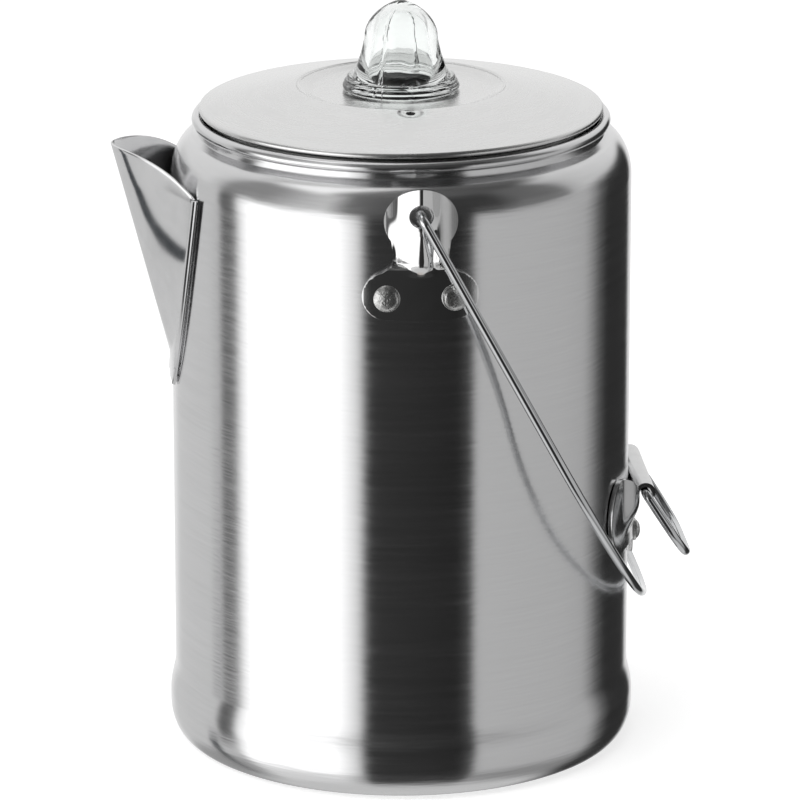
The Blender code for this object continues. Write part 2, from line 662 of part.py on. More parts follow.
def tilt_ring():
    turn = Matrix.Rotation(math.pi / 2 - RING_SWAY, 3, "Y")
    points = [turn @ Vector((down, across, 0.0)) for down, across in ring_points()]
    item = wire("tilt_ring", points, PLATED_WIRE, closed=True)
    item.location = (RING_AXIS_REACH, 0.0, RING_AXIS_HEIGHT)
    return item


# Lid and knob

def lid():
    ring = LID_EDGE + LID_RISE
    skirt_inside = LID_SKIRT_RADIUS - LID_SHEET
    skirt_foot = LID_BASE - LID_SKIRT_DEPTH
    top = [(LID_HOLE_RADIUS, KNOB_SEAT), (LID_DISH_RADIUS, KNOB_SEAT), (LID_RING_RADIUS, ring)]
    rim = (LID_RIM_RADIUS - LID_EDGE_ROUND, LID_EDGE - LID_EDGE_ROUND)
    top += arc(rim, (LID_EDGE_ROUND, LID_EDGE_ROUND), 80, 0, 2)
    outside = [(LID_RIM_RADIUS, LID_BASE), (LID_SKIRT_RADIUS, LID_BASE), (LID_SKIRT_RADIUS, skirt_foot)]
    inside = [(skirt_inside, skirt_foot), (skirt_inside, LID_EDGE - 1.2 * LID_SHEET),
              (LID_RING_RADIUS, ring - LID_SHEET), (LID_DISH_RADIUS, KNOB_SEAT - LID_SHEET),
              (LID_HOLE_RADIUS, KNOB_SEAT - LID_SHEET)]
    item = turned("lid", top + outside + inside, LID_STEPS, BRIGHT_ALUMINIUM, closed=True)
    vent = (0.0, -VENT_PLACE, ring)
    boolean(item, round_cutter("lid_vent", VENT_RADIUS, 8 * WALL, vent, (0, 0, 1)))
    notch_width = KNOB_LUG_WIDTH + 4 * RUNNING_GAP
    notch_reach = KNOB_NECK_RADIUS + KNOB_LUG_REACH + 2 * RUNNING_GAP
    notch = box_cutter("lid_notches", (notch_width, 2 * notch_reach, 4 * WALL), (0, 0, KNOB_SEAT))
    boolean(item, notch)
    return item


def glass_knob():
    seat = KNOB_SEAT + GAP
    top = KNOB_SEAT + KNOB_HEIGHT
    dome = KNOB_SEAT + KNOB_DOME_HEIGHT
    flange = seat + KNOB_FLANGE_HEIGHT
    foot = KNOB_SEAT + KNOB_DOME_FOOT_HEIGHT
    neck_foot = KNOB_SEAT - LID_SHEET - GAP - KNOB_LUG_HEIGHT
    outside = arc((0.0, dome), (KNOB_DOME_RADIUS, top - dome), 90, 0, 6)
    rim = KNOB_FLANGE_ROUND
    outside += [(KNOB_DOME_FOOT_RADIUS - KNOB_WAIST_INSET, foot + KNOB_WAIST_RISE),
                (KNOB_DOME_FOOT_RADIUS, foot), (KNOB_DOME_FOOT_RADIUS + KNOB_FILLET, flange + KNOB_FILLET),
                (KNOB_FLANGE_RADIUS - rim, flange), (KNOB_FLANGE_RADIUS, flange - rim),
                (KNOB_FLANGE_RADIUS, seat + rim), (KNOB_FLANGE_RADIUS - rim, seat),
                (KNOB_NECK_RADIUS, seat), (KNOB_NECK_RADIUS, neck_foot)]
    bore = KNOB_NECK_RADIUS - KNOB_GLASS
    inside = arc((0.0, dome), (KNOB_DOME_RADIUS - KNOB_GLASS, top - dome - KNOB_GLASS), 90, 0, 5)
    inside += [(bore, foot), (bore, neck_foot)]
    knob = turned("glass_knob", outside + inside[::-1], KNOB_STEPS, CLEAR_GLASS)
    reach = KNOB_NECK_RADIUS + KNOB_LUG_REACH
    middle = (bore + KNOB_GLASS / 2 + reach) / 2
    for sign in (-1, 1):
        centre = (sign * middle, 0.0, neck_foot + KNOB_LUG_HEIGHT / 2)
        size = (2 * (reach - middle), KNOB_LUG_WIDTH, KNOB_LUG_HEIGHT)
        boolean(knob, box_cutter(f"knob_lug_{sign + 1}", size, centre), "UNION")
    return knob


# Pump and basket

def bell_profile(offset):
    """Half section of the pump's bell, moved in by an offset, from its collar down to its foot."""
    collar = TUBE_RADIUS + GAP + BELL_SHEET - offset
    foot = FLOOR + GAP
    return [(collar, BELL_HEIGHT), (collar, BELL_COLLAR_FOOT - offset),
            (collar + BELL_THROAT[0], BELL_THROAT[1] - offset),
            (BELL_RADIUS * BELL_BROW[0] - offset, BELL_BROW[1] - offset),
            (BELL_RADIUS * BELL_SKIRT[0] - offset, BELL_SKIRT[1]),
            (BELL_RADIUS - offset, foot + BELL_LIP), (BELL_RADIUS - offset, foot)]


def pump_base():
    bell = turned("pump_base", bell_profile(0.0) + bell_profile(BELL_SHEET)[::-1], INNER_STEPS,
                  ALUMINIUM, closed=True)
    height = FLOOR + GAP + BELL_NOTCH_HEIGHT
    for notch in range(BELL_NOTCHES // 2):
        size = (3 * BELL_RADIUS, BELL_NOTCH_WIDTH, 2 * BELL_NOTCH_HEIGHT)
        turn = 180.0 / (BELL_NOTCHES // 2) * notch + 45.0
        boolean(bell, box_cutter(f"bell_notch_{notch}", size, (0, 0, height - BELL_NOTCH_HEIGHT), turn))
    return bell


def ring_piece(name, inner, outer, low, high, look, steps=INNER_STEPS):
    """A plain turned ring."""
    points = [(inner, high), (outer, high), (outer, low), (inner, low)]
    return turned(name, points, steps, look, closed=True)


def pump_pieces():
    tube_top = KNOB_SEAT - TUBE_BELOW_SEAT
    tube_bore = TUBE_RADIUS - TUBE_WALL
    ring_piece("pump_tube", tube_bore, TUBE_RADIUS, TUBE_FOOT, tube_top, ALUMINIUM, TUBE_STEPS)
    pump_base()
    seat_top = SEAT_HEIGHT + BELL_SHEET
    ring_piece("valve_seat", SEAT_HOLE_RADIUS, SEAT_RADIUS, SEAT_HEIGHT, seat_top, ALUMINIUM, 24)
    disc_foot = seat_top + GAP
    disc = [(0.0, disc_foot + DISC_THICKNESS), (DISC_RADIUS, disc_foot + DISC_THICKNESS),
            (DISC_RADIUS, disc_foot), (0.0, disc_foot)]
    turned("valve_disc", disc, 24, POLISHED_STEEL)
    ring_piece("basket_stop", TUBE_RADIUS + GAP, COLLAR_RADIUS, COLLAR_HEIGHT,
               COLLAR_HEIGHT + COLLAR_LENGTH, ALUMINIUM, 24)


def hole_pattern(item, height):
    """Cut rings of small holes through a flat piece at a height."""
    for radius, count in BASKET_HOLE_CIRCLES:
        for number in range(count):
            angle = math.tau * number / count + HOLE_TURN
            centre = (radius * math.cos(angle), radius * math.sin(angle), height)
            name = f"{item.name}_hole_{round(radius / MM)}_{number}"
            boolean(item, round_cutter(name, BASKET_HOLE_RADIUS, 8 * WALL, centre, (0, 0, 1), 8))


def basket():
    bore = SLEEVE_RADIUS + GAP
    corner = BASKET_CORNER
    inner = BASKET_RADIUS - BASKET_SHEET
    rim = BASKET_RADIUS + BASKET_RIM
    outside = [(inner, BASKET_TOP), (rim, BASKET_TOP), (rim, BASKET_TOP - BASKET_RIM),
               (BASKET_RADIUS, BASKET_TOP - BASKET_RIM)]
    outside += arc((BASKET_RADIUS - corner, BASKET_FLOOR + corner), (corner, corner), 0, -90, 3)
    outside.append((bore, BASKET_FLOOR))
    inside = [(bore, BASKET_FLOOR + BASKET_SHEET)]
    inside += arc((inner - corner, BASKET_FLOOR + BASKET_SHEET + corner), (corner, corner), -90, 0, 3)
    body = turned("basket_body", outside + inside, INNER_STEPS, ALUMINIUM, closed=True)
    hole_pattern(body, BASKET_FLOOR)
    sleeve = [(SLEEVE_BORE, SLEEVE_TOP), (SLEEVE_RADIUS, SLEEVE_TOP),
              (SLEEVE_RADIUS, SLEEVE_FOOT + SLEEVE_WALL), (SLEEVE_FLANGE_RADIUS, SLEEVE_FOOT + SLEEVE_WALL),
              (SLEEVE_FLANGE_RADIUS, SLEEVE_FOOT), (SLEEVE_BORE, SLEEVE_FOOT)]
    turned("basket_sleeve", sleeve, TUBE_STEPS, ALUMINIUM, closed=True)


def basket_cover():
    seat = BASKET_TOP + GAP
    thick = BASKET_SHEET
    bore = SLEEVE_RADIUS + RUNNING_GAP
    dish = BASKET_RADIUS - BASKET_SHEET - 2 * GAP
    collar_top = seat + COVER_COLLAR_HEIGHT
    points = [(bore, collar_top), (bore + thick, collar_top), (bore + thick, seat - COVER_DISH + thick),
              (dish - 2 * thick, seat - COVER_DISH + thick), (dish - thick, seat + thick),
              (BASKET_RADIUS + BASKET_RIM, seat + thick), (BASKET_RADIUS + BASKET_RIM, seat),
              (dish, seat), (dish - thick, seat - COVER_DISH), (bore, seat - COVER_DISH)]
    cover = turned("basket_cover", points, INNER_STEPS, ALUMINIUM, closed=True)
    hole_pattern(cover, seat - COVER_DISH)


clear_scene()
PARTS = new_collection("coffee_percolator")
CUTTERS = new_collection("cutters")
pot_body()
spout()
all_rivets()
ear("bail_ear_front", -1)
ear("bail_ear_back", 1)
bail()
ring_bracket()
tilt_ring()
lid()
glass_knob()
pump_pieces()
basket()
basket_cover()
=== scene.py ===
"""Looks of the coffee percolator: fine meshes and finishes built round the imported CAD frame.

Metres, +Z up. The spout points along -X, the tilt ring hangs at +X and the bail turns about Y.
Each sub-assembly is a class whose fields are its sizes. A helper, Workshop, holds the modelling steps.
"""
import json
import logging
import math
from collections.abc import Callable, Iterable, Sequence
from dataclasses import dataclass, field
from enum import Enum

import bpy
from mathutils import Matrix, Vector


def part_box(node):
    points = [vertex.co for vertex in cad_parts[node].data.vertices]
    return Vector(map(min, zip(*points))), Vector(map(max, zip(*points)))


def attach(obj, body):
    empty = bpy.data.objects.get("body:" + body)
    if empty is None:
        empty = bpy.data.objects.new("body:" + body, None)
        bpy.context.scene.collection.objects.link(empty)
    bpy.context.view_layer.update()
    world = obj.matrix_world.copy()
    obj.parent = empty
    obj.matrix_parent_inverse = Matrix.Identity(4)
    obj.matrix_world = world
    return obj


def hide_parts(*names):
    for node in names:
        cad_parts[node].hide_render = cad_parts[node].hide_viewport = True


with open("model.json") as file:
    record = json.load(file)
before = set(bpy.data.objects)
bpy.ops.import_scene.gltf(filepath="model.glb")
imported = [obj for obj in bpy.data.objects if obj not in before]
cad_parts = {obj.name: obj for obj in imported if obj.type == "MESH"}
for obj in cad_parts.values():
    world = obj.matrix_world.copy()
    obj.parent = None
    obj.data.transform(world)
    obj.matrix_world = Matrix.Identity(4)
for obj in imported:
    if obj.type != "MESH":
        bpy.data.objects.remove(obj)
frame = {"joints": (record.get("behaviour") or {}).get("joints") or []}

MM = 0.001
LOG = logging.getLogger("percolator")
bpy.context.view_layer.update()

Point2 = tuple[float, float]
Point3 = tuple[float, float, float]


class Slot(Enum):
    """The record's material slots."""

    SATIN_ALUMINIUM = "satin_aluminium"
    BRIGHT_ALUMINIUM = "bright_aluminium"
    SPUN_ALUMINIUM = "spun_aluminium"
    RIVET_ALUMINIUM = "rivet_aluminium"
    POLISHED_STEEL = "polished_steel"
    PLATED_WIRE = "plated_wire"
    CLEAR_GLASS = "clear_glass"


# Shader maths

class Value:
    """A number in a shader; its operators add Math nodes."""

    def __init__(self, graph: "Graph", socket: bpy.types.NodeSocket) -> None:
        """Args:
            graph: the shader that the number belongs to.
            socket: the output that carries it.
        """
        self.graph = graph
        self.socket = socket

    def math(self, operation: str, *others: "Value | float") -> "Value":
        """Args:
            operation: the Math node's operation.
            others: its further inputs.

        Returns:
            The result.
        """
        return self.graph.math(operation, self, *others)

    def __add__(self, other: "Value | float") -> "Value":
        """Sum."""
        return self.graph.math("ADD", self, other)

    def __radd__(self, other: float) -> "Value":
        """Sum with a number on the left."""
        return self.graph.math("ADD", other, self)

    def __sub__(self, other: "Value | float") -> "Value":
        """Difference."""
        return self.graph.math("SUBTRACT", self, other)

    def __rsub__(self, other: float) -> "Value":
        """Difference from a number."""
        return self.graph.math("SUBTRACT", other, self)

    def __mul__(self, other: "Value | float") -> "Value":
        """Product."""
        return self.graph.math("MULTIPLY", self, other)

    def __rmul__(self, other: float) -> "Value":
        """Product with a number on the left."""
        return self.graph.math("MULTIPLY", other, self)

    def __truediv__(self, other: "Value | float") -> "Value":
        """Quotient."""
        return self.graph.math("DIVIDE", self, other)

    def step(self, low: float, high: float) -> "Value":
        """Args:
            low: where the result is 0.
            high: where it reaches 1.

        Returns:
            A smooth step between the two.
        """
        node = self.graph.node("ShaderNodeMapRange", {"interpolation_type": "SMOOTHSTEP"},
                               {"Value": self, "From Min": low, "From Max": high})
        return Value(self.graph, node.outputs["Result"])


class Graph:
    """A material's or world's node tree, with short ways to add nodes."""

    def __init__(self, tree: bpy.types.NodeTree) -> None:
        """Args:
            tree: the tree to fill; it is emptied first.
        """
        self.tree = tree
        tree.nodes.clear()

    def node(self, kind: str, settings: dict[str, object], inputs: dict[str, object]) -> bpy.types.Node:
        """Args:
            kind: the node's type name.
            settings: its properties, or "stops" for a colour ramp's (place, colour) pairs.
            inputs: values or links for its sockets, by name or number.

        Returns:
            The new node.
        """
        node = self.tree.nodes.new(kind)
        for name, setting in settings.items():
            if name == "stops":
                self._set_stops(node, setting)
            else:
                setattr(node, name, setting)
        for name, value in inputs.items():
            self._feed(node.inputs[name], value)
        return node

    @staticmethod
    def _set_stops(node: bpy.types.Node, stops: Sequence[tuple[float, Sequence[float]]]) -> None:
        """Give a colour ramp its stops."""
        elements = node.color_ramp.elements
        while len(elements) > 1:
            elements.remove(elements[-1])
        elements[0].position, elements[0].color = stops[0][0], (*stops[0][1], 1.0)
        for place, colour in stops[1:]:
            elements.new(place).color = (*colour, 1.0)

    def _feed(self, target: bpy.types.NodeSocket, value: object) -> None:
        """Link or set one input."""
        if isinstance(value, Value):
            self.tree.links.new(value.socket, target)
        elif isinstance(value, bpy.types.NodeSocket):
            self.tree.links.new(value, target)
        else:
            target.default_value = value

    def math(self, operation: str, *values: "Value | float") -> Value:
        """Args:
            operation: the Math node's operation.
            values: its inputs, in order.

        Returns:
            The result.
        """
        node = self.node("ShaderNodeMath", {"operation": operation}, dict(enumerate(values)))
        return Value(self, node.outputs[0])

    def noise(self, where: object, scale: float, detail: float = 2.0, rough: float = 0.5) -> Value:
        """Args:
            where: the vector to read the noise at.
            scale: repeats for each unit of it.
            detail: octaves.
            rough: how strong the fine octaves are.

        Returns:
            Noise from 0 to 1.
        """
        node = self.node("ShaderNodeTexNoise", {"noise_dimensions": "3D"},
                         {"Vector": where, "Scale": scale, "Detail": detail, "Roughness": rough})
        return Value(self, node.outputs["Fac"])

    def vector(self, x: object, y: object, z: object) -> bpy.types.NodeSocket:
        """A vector from three numbers."""
        return self.node("ShaderNodeCombineXYZ", {}, {"X": x, "Y": y, "Z": z}).outputs["Vector"]

    def place(self) -> tuple[Value, Value, Value, bpy.types.NodeSocket]:
        """The point in the object's own frame, as x, y, z and the whole vector."""
        spot = self.node("ShaderNodeTexCoord", {}, {}).outputs["Object"]
        parts = self.node("ShaderNodeSeparateXYZ", {}, {"Vector": spot})
        x, y, z = (Value(self, parts.outputs[axis]) for axis in "XYZ")
        return x, y, z, spot

    def mix(self, share: object, first: object, second: object) -> bpy.types.NodeSocket:
        """A colour between two."""
        node = self.node("ShaderNodeMix", {"data_type": "RGBA"}, {"Factor": share, 6: first, 7: second})
        return node.outputs[2]

    def bump(self, height: Value, depth: float, below: object = None) -> bpy.types.NodeSocket:
        """Args:
            height: the height field, from 0 to 1.
            depth: how deep a height of 1 is, in metres.
            below: the normal that it is added to.

        Returns:
            The new normal.
        """
        inputs = {"Height": height, "Distance": depth, "Strength": 1.0}
        if below is not None:
            inputs["Normal"] = below
        return self.node("ShaderNodeBump", {}, inputs).outputs["Normal"]


@dataclass(frozen=True)
class Finish:
    """A surface finish; its subclasses say how it looks."""

    name: str
    slot: Slot

    def build(self) -> bpy.types.Material:
        """Returns:
            A new material with this finish.
        """
        material = bpy.data.materials.new(self.name)
        material.use_nodes = True
        graph = Graph(material.node_tree)
        shader = graph.node("ShaderNodeBsdfPrincipled", {}, self.sockets(graph))
        graph.node("ShaderNodeOutputMaterial", {}, {"Surface": shader.outputs["BSDF"]})
        return material

    def sockets(self, graph: Graph) -> dict[str, object]:
        """Args:
            graph: the shader to add nodes to.

        Returns:
            Values and links for the Principled shader.
        """
        raise NotImplementedError


@dataclass(frozen=True)
class TurnedAluminium(Finish):
    """Spun sheet, brushed round the Z axis in fine lines, with a slow waviness of the sheet."""

    colour: Point3 = (0.83, 0.83, 0.835)
    roughness: float = 0.24
    stretch: float = 0.0
    line_contrast: float = 0.10
    line_depth: float = 0.012 * MM
    line_pitch: float = 0.35 * MM
    lines_round: float = 9.0
    jag: float = 0.0
    jag_pitch: float = 1.1 * MM
    waviness: float = 0.05 * MM
    wave_length: float = 22.0 * MM

    def sockets(self, graph: Graph) -> dict[str, object]:
        """Brush lines steer the roughness, a little of the colour, and the bump."""
        x, y, z, spot = graph.place()
        reach = (x * x + y * y).math("SQRT").math("MAXIMUM", 0.1 * MM)
        along = (z + reach) / self.line_pitch
        round_x, round_y = x / reach * self.lines_round, y / reach * self.lines_round
        fine = graph.noise(graph.vector(round_x, round_y, along), 1.0, 3.0, 0.6)
        coarse = graph.noise(graph.vector(round_x * 0.35, round_y * 0.35, along * 0.16), 1.0, 2.0)
        patches = graph.noise(spot, 1.0 / (35 * MM), 3.0)
        wear = (fine - 0.5) * self.line_contrast + (coarse - 0.5) * (1.4 * self.line_contrast)
        rough = wear + (patches - 0.5) * 0.05 + self.roughness
        tone = (fine - 0.5) * 0.5 + (coarse - 0.5) * 0.4 + (patches - 0.5) * 0.25 + 0.5
        dark = tuple(part * 0.93 for part in self.colour)
        light = tuple(min(part * 1.05, 1.0) for part in self.colour)
        waves = graph.noise(spot, 1.0 / self.wave_length, 1.0)
        normal = graph.bump(waves, self.waviness)
        normal = graph.bump(fine * 0.6 + coarse * 0.4, self.line_depth, normal)
        if self.jag:
            bands = (z + reach) / self.jag_pitch
            lengths = graph.noise(graph.vector(round_x * 1.3, round_y * 1.3, bands), 1.0, 1.0)
            normal = graph.bump(lengths, self.jag, normal)
        normal = self.pressing(graph, x, y, reach, normal)
        return {"Base Color": graph.mix(tone.step(0.1, 0.9), (*dark, 1.0), (*light, 1.0)),
                "Metallic": 1.0, "Roughness": rough.math("MAXIMUM", 0.05), "Normal": normal,
                "Anisotropic": self.stretch, "Anisotropic Rotation": 0.25}

    def pressing(self, graph: Graph, x: Value, y: Value, reach: Value,
                 normal: bpy.types.NodeSocket) -> bpy.types.NodeSocket:
        """The normal after any pressed shape that is too fine to model; plain sheet has none."""
        return normal


@dataclass(frozen=True)
class PressedLid(TurnedAluminium):
    """Spun sheet with a sharp pressed groove round a seat, and a dimple in front of it."""

    groove: float = 28.6 * MM
    groove_width: float = 0.7 * MM
    groove_depth: float = 0.30 * MM
    dimple_place: float = 31.0 * MM
    dimple_reach: float = 3.1 * MM
    dimple_wall: float = 1.3 * MM
    dimple_depth: float = 1.3 * MM

    def pressing(self, graph: Graph, x: Value, y: Value, reach: Value,
                 normal: bpy.types.NodeSocket) -> bpy.types.NodeSocket:
        """A round groove, and a dimple with a steep wall."""
        off = (reach - self.groove).math("ABSOLUTE")
        normal = graph.bump(off.step(0.0, self.groove_width), self.groove_depth, normal)
        ahead = y + self.dimple_place
        away = (x * x + ahead * ahead).math("SQRT")
        inside = away.step(self.dimple_reach - self.dimple_wall / 2, self.dimple_reach + self.dimple_wall / 2)
        return graph.bump(inside, self.dimple_depth, normal)


@dataclass(frozen=True)
class SheetMetal(Finish):
    """Plain or polished sheet: faint rolling marks, scratches and smudges."""

    colour: Point3 = (0.84, 0.84, 0.85)
    roughness: float = 0.12
    smudge: float = 0.08
    scratch_depth: float = 0.004 * MM
    waviness: float = 0.03 * MM
    wave_length: float = 9.0 * MM
    rust: float = 0.0
    rust_place: Point3 = (0.0, 0.0, 0.0)
    rust_size: float = 2.0 * MM

    def sockets(self, graph: Graph) -> dict[str, object]:
        """Smudges change the roughness, scratches and waves the normal, and rust the colour in one place."""
        x, y, z, spot = graph.place()
        smudges = graph.noise(spot, 1.0 / (6 * MM), 4.0, 0.55)
        scratches = graph.noise(graph.vector(x * 0.4, y * 0.4, z), 1.0 / (0.35 * MM), 2.0)
        waves = graph.noise(spot, 1.0 / self.wave_length, 1.0)
        normal = graph.bump(waves, self.waviness)
        normal = graph.bump(scratches, self.scratch_depth, normal)
        normal = self.pressing(graph, x, z, normal)
        dark = tuple(part * 0.94 for part in self.colour)
        colour = graph.mix(smudges.step(0.3, 0.7), (*dark, 1.0), (*self.colour, 1.0))
        if self.rust:
            away = graph.node("ShaderNodeVectorMath", {"operation": "DISTANCE"}, {0: spot, 1: self.rust_place})
            ragged = Value(graph, away.outputs["Value"]) + (smudges - 0.5) * (2 * self.rust_size)
            spots = 1.0 - ragged.step(0.3 * self.rust_size, self.rust_size)
            colour = graph.mix(spots * self.rust, colour, (0.42, 0.22, 0.10, 1.0))
        return {"Base Color": colour, "Metallic": 1.0, "Normal": normal,
                "Roughness": (smudges - 0.45) * self.smudge + self.roughness}

    def pressing(self, graph: Graph, x: Value, z: Value, normal: bpy.types.NodeSocket) -> bpy.types.NodeSocket:
        """The normal after any pressed shape that is too shallow to model; plain sheet has none."""
        return normal


@dataclass(frozen=True)
class FoldedSheet(SheetMetal):
    """Sheet with a fold down its middle that opens out towards its foot, and sides that fall away."""

    fold_slope: float = 0.32
    fold_curve: float = 25.0
    fold_top: float = 0.0
    fold_foot: float = 0.0
    fold_round: float = 0.5 * MM
    foot_round: float = 1.6 * MM
    lean: float = 0.32
    lean_start: float = 2.8 * MM
    lean_centre: float = 1.5 * MM

    def pressing(self, graph: Graph, x: Value, z: Value, normal: bpy.types.NodeSocket) -> bpy.types.NodeSocket:
        """A crest down the middle, rounder towards the foot and gone below it."""
        down = (self.fold_top - z).step(-2 * MM, self.fold_top - self.fold_foot)
        blunt = down * self.foot_round + self.fold_round
        crest = (x * x + blunt * blunt).math("SQRT") - blunt
        depth = crest * self.fold_slope + x * x * self.fold_curve
        there = (z - self.fold_foot).step(-1.2 * MM, 1.2 * MM)
        leaning = (z - self.fold_top + self.lean_centre) * self.lean
        leaning = leaning * (x.step(self.lean_start, self.lean_start + 2.4 * MM) + (x * -1.0).step(
            self.lean_start + 3.4 * MM, self.lean_start + 6.4 * MM) * 0.7)
        return graph.bump((depth + leaning) * there * -1.0, 1.0, normal)


@dataclass(frozen=True)
class HammeredRivet(Finish):
    """Dull soft metal with the marks of the setting tool."""

    colour: Point3 = (0.74, 0.74, 0.73)
    roughness: float = 0.30

    def sockets(self, graph: Graph) -> dict[str, object]:
        """Dents in the bump, with duller low spots."""
        _, _, _, spot = graph.place()
        dents = graph.noise(spot, 1.0 / (1.6 * MM), 2.0)
        grain = graph.noise(spot, 1.0 / (0.4 * MM), 3.0)
        colour = graph.mix(dents.step(0.3, 0.6), (0.58, 0.58, 0.57, 1.0), (*self.colour, 1.0))
        normal = graph.bump(dents * 0.75 + grain * 0.25, 0.22 * MM)
        return {"Base Color": colour, "Metallic": 1.0, "Normal": normal,
                "Roughness": self.roughness + (grain - 0.5) * 0.25}


@dataclass(frozen=True)
class PressedGlass(Finish):
    """Clear pressed glass with a faint green body and a slightly uneven skin."""

    colour: Point3 = (0.98, 0.997, 0.99)

    def sockets(self, graph: Graph) -> dict[str, object]:
        """A slow unevenness bends what is seen through it."""
        _, _, _, spot = graph.place()
        waves = graph.noise(spot, 1.0 / (5 * MM), 1.5)
        return {"Base Color": (*self.colour, 1.0), "Metallic": 0.0, "Roughness": 0.015, "IOR": 1.5,
                "Transmission Weight": 1.0, "Normal": graph.bump(waves, 0.10 * MM)}


@dataclass(frozen=True)
class FloorPaint(Finish):
    """Pale, even floor of the studio."""

    glow: float = 0.62

    def sockets(self, graph: Graph) -> dict[str, object]:
        """Pale, and lit a little from within, so that it meets the backdrop without an edge."""
        return {"Base Color": (0.9, 0.9, 0.9, 1.0), "Roughness": 0.9, "Specular IOR Level": 0.0,
                "Emission Color": (1.0, 1.0, 1.0, 1.0), "Emission Strength": self.glow}


# Modelling

class Workshop:
    """Modelling steps that the pieces share. Each leaves a finished mesh object at the origin."""

    @staticmethod
    def idle() -> None:
        """Leave edit mode and deselect everything."""
        if bpy.context.object and bpy.context.object.mode != "OBJECT":
            bpy.ops.object.mode_set(mode="OBJECT")
        bpy.ops.object.select_all(action="DESELECT")

    @staticmethod
    def only(piece: bpy.types.Object) -> None:
        """Select one object and make it the active one."""
        Workshop.idle()
        piece.select_set(True)
        bpy.context.view_layer.objects.active = piece

    @staticmethod
    def apply(piece: bpy.types.Object, kind: str, **settings: object) -> None:
        """Args:
            piece: the object to change.
            kind: the modifier's type.
            settings: the modifier's properties.
        """
        Workshop.only(piece)
        modifier = piece.modifiers.new(kind.title(), kind)
        for name, setting in settings.items():
            setattr(modifier, name, setting)
        bpy.ops.object.modifier_apply(modifier=modifier.name)

    @staticmethod
    def settle(piece: bpy.types.Object) -> None:
        """Put an object's place, turn and scale into its mesh."""
        Workshop.only(piece)
        bpy.ops.object.transform_apply(location=True, rotation=True, scale=True)

    @staticmethod
    def smooth(piece: bpy.types.Object, degrees: float = 30.0) -> None:
        """Shade round, with sharp edges where the faces turn by more than an angle."""
        Workshop.only(piece)
        bpy.ops.object.shade_smooth_by_angle(angle=math.radians(degrees))

    @staticmethod
    def tidy(piece: bpy.types.Object, reach: float = 0.001 * MM) -> None:
        """Merge doubles and turn the faces outwards."""
        Workshop.only(piece)
        bpy.ops.object.mode_set(mode="EDIT")
        bpy.ops.mesh.select_all(action="SELECT")
        bpy.ops.mesh.remove_doubles(threshold=reach)
        bpy.ops.mesh.normals_make_consistent(inside=False)
        bpy.ops.object.mode_set(mode="OBJECT")

    @staticmethod
    def lathe(name: str, profile: Sequence[Point2], steps: int = 128, closed: bool = False,
              soften: float = 0.0) -> bpy.types.Object:
        """Turn a profile about the Z axis.

        Args:
            name: the piece's name.
            profile: (radius, height) points, from one end of the profile to the other.
            steps: faces round the piece.
            closed: whether the last point joins the first.
            soften: width of the bevel on its sharp edges.

        Returns:
            The turned piece.
        """
        Workshop.idle()
        start = profile[0]
        bpy.ops.mesh.primitive_plane_add(size=MM, location=(start[0], 0.0, start[1]))
        piece = bpy.context.object
        piece.name = piece.data.name = name
        bpy.ops.object.transform_apply(location=True, rotation=True, scale=True)
        bpy.ops.object.mode_set(mode="EDIT")
        bpy.ops.mesh.select_mode(type="VERT")
        bpy.ops.mesh.select_all(action="SELECT")
        bpy.ops.mesh.merge(type="CENTER")
        for here, there in zip(profile, profile[1:]):
            move = (there[0] - here[0], 0.0, there[1] - here[1])
            bpy.ops.mesh.extrude_region_move(TRANSFORM_OT_translate={"value": move})
        bpy.ops.object.mode_set(mode="OBJECT")
        if closed:
            corners = piece.data.vertices
            for number, corner in enumerate(corners):
                corner.select = number in (0, len(corners) - 1)
            bpy.ops.object.mode_set(mode="EDIT")
            bpy.ops.mesh.edge_face_add()
            bpy.ops.object.mode_set(mode="OBJECT")
        bpy.ops.object.mode_set(mode="EDIT")
        bpy.ops.mesh.select_all(action="SELECT")
        bpy.ops.mesh.spin(steps=steps, angle=math.tau, center=(0, 0, 0), axis=(0, 0, 1))
        bpy.ops.object.mode_set(mode="OBJECT")
        Workshop.tidy(piece)
        if soften:
            Workshop.soften(piece, soften)
        Workshop.smooth(piece)
        return piece

    @staticmethod
    def soften(piece: bpy.types.Object, width: float, degrees: float = 40.0, segments: int = 2) -> None:
        """Bevel the sharp edges of a piece."""
        Workshop.apply(piece, "BEVEL", width=width, segments=segments, limit_method="ANGLE",
                       angle_limit=math.radians(degrees), use_clamp_overlap=True)

    @staticmethod
    def grid(name: str, columns: int, rows: int, surface: Callable[[float, float], Point3],
             thickness: float, soften: float = 0.12 * MM) -> bpy.types.Object:
        """Shape a sheet from a grid.

        Args:
            name: the piece's name.
            columns: faces across.
            rows: faces up.
            surface: place of a grid point, from its shares across and up, each from 0 to 1.
            thickness: of the sheet; it grows along the face normals.
            soften: width of the bevel on its edges.

        Returns:
            The sheet.
        """
        Workshop.idle()
        bpy.ops.mesh.primitive_grid_add(x_subdivisions=columns, y_subdivisions=rows, size=1.0)
        piece = bpy.context.object
        piece.name = piece.data.name = name
        for corner in piece.data.vertices:
            corner.co = surface(corner.co.x + 0.5, corner.co.y + 0.5)
        Workshop.thicken(piece, thickness, soften)
        return piece

    @staticmethod
    def thicken(piece: bpy.types.Object, thickness: float, soften: float) -> None:
        """Give an open sheet its wall and its softened edges."""
        Workshop.apply(piece, "SOLIDIFY", thickness=thickness, offset=1.0, use_even_offset=True)
        Workshop.soften(piece, soften, degrees=60.0, segments=3)
        Workshop.smooth(piece, 40.0)

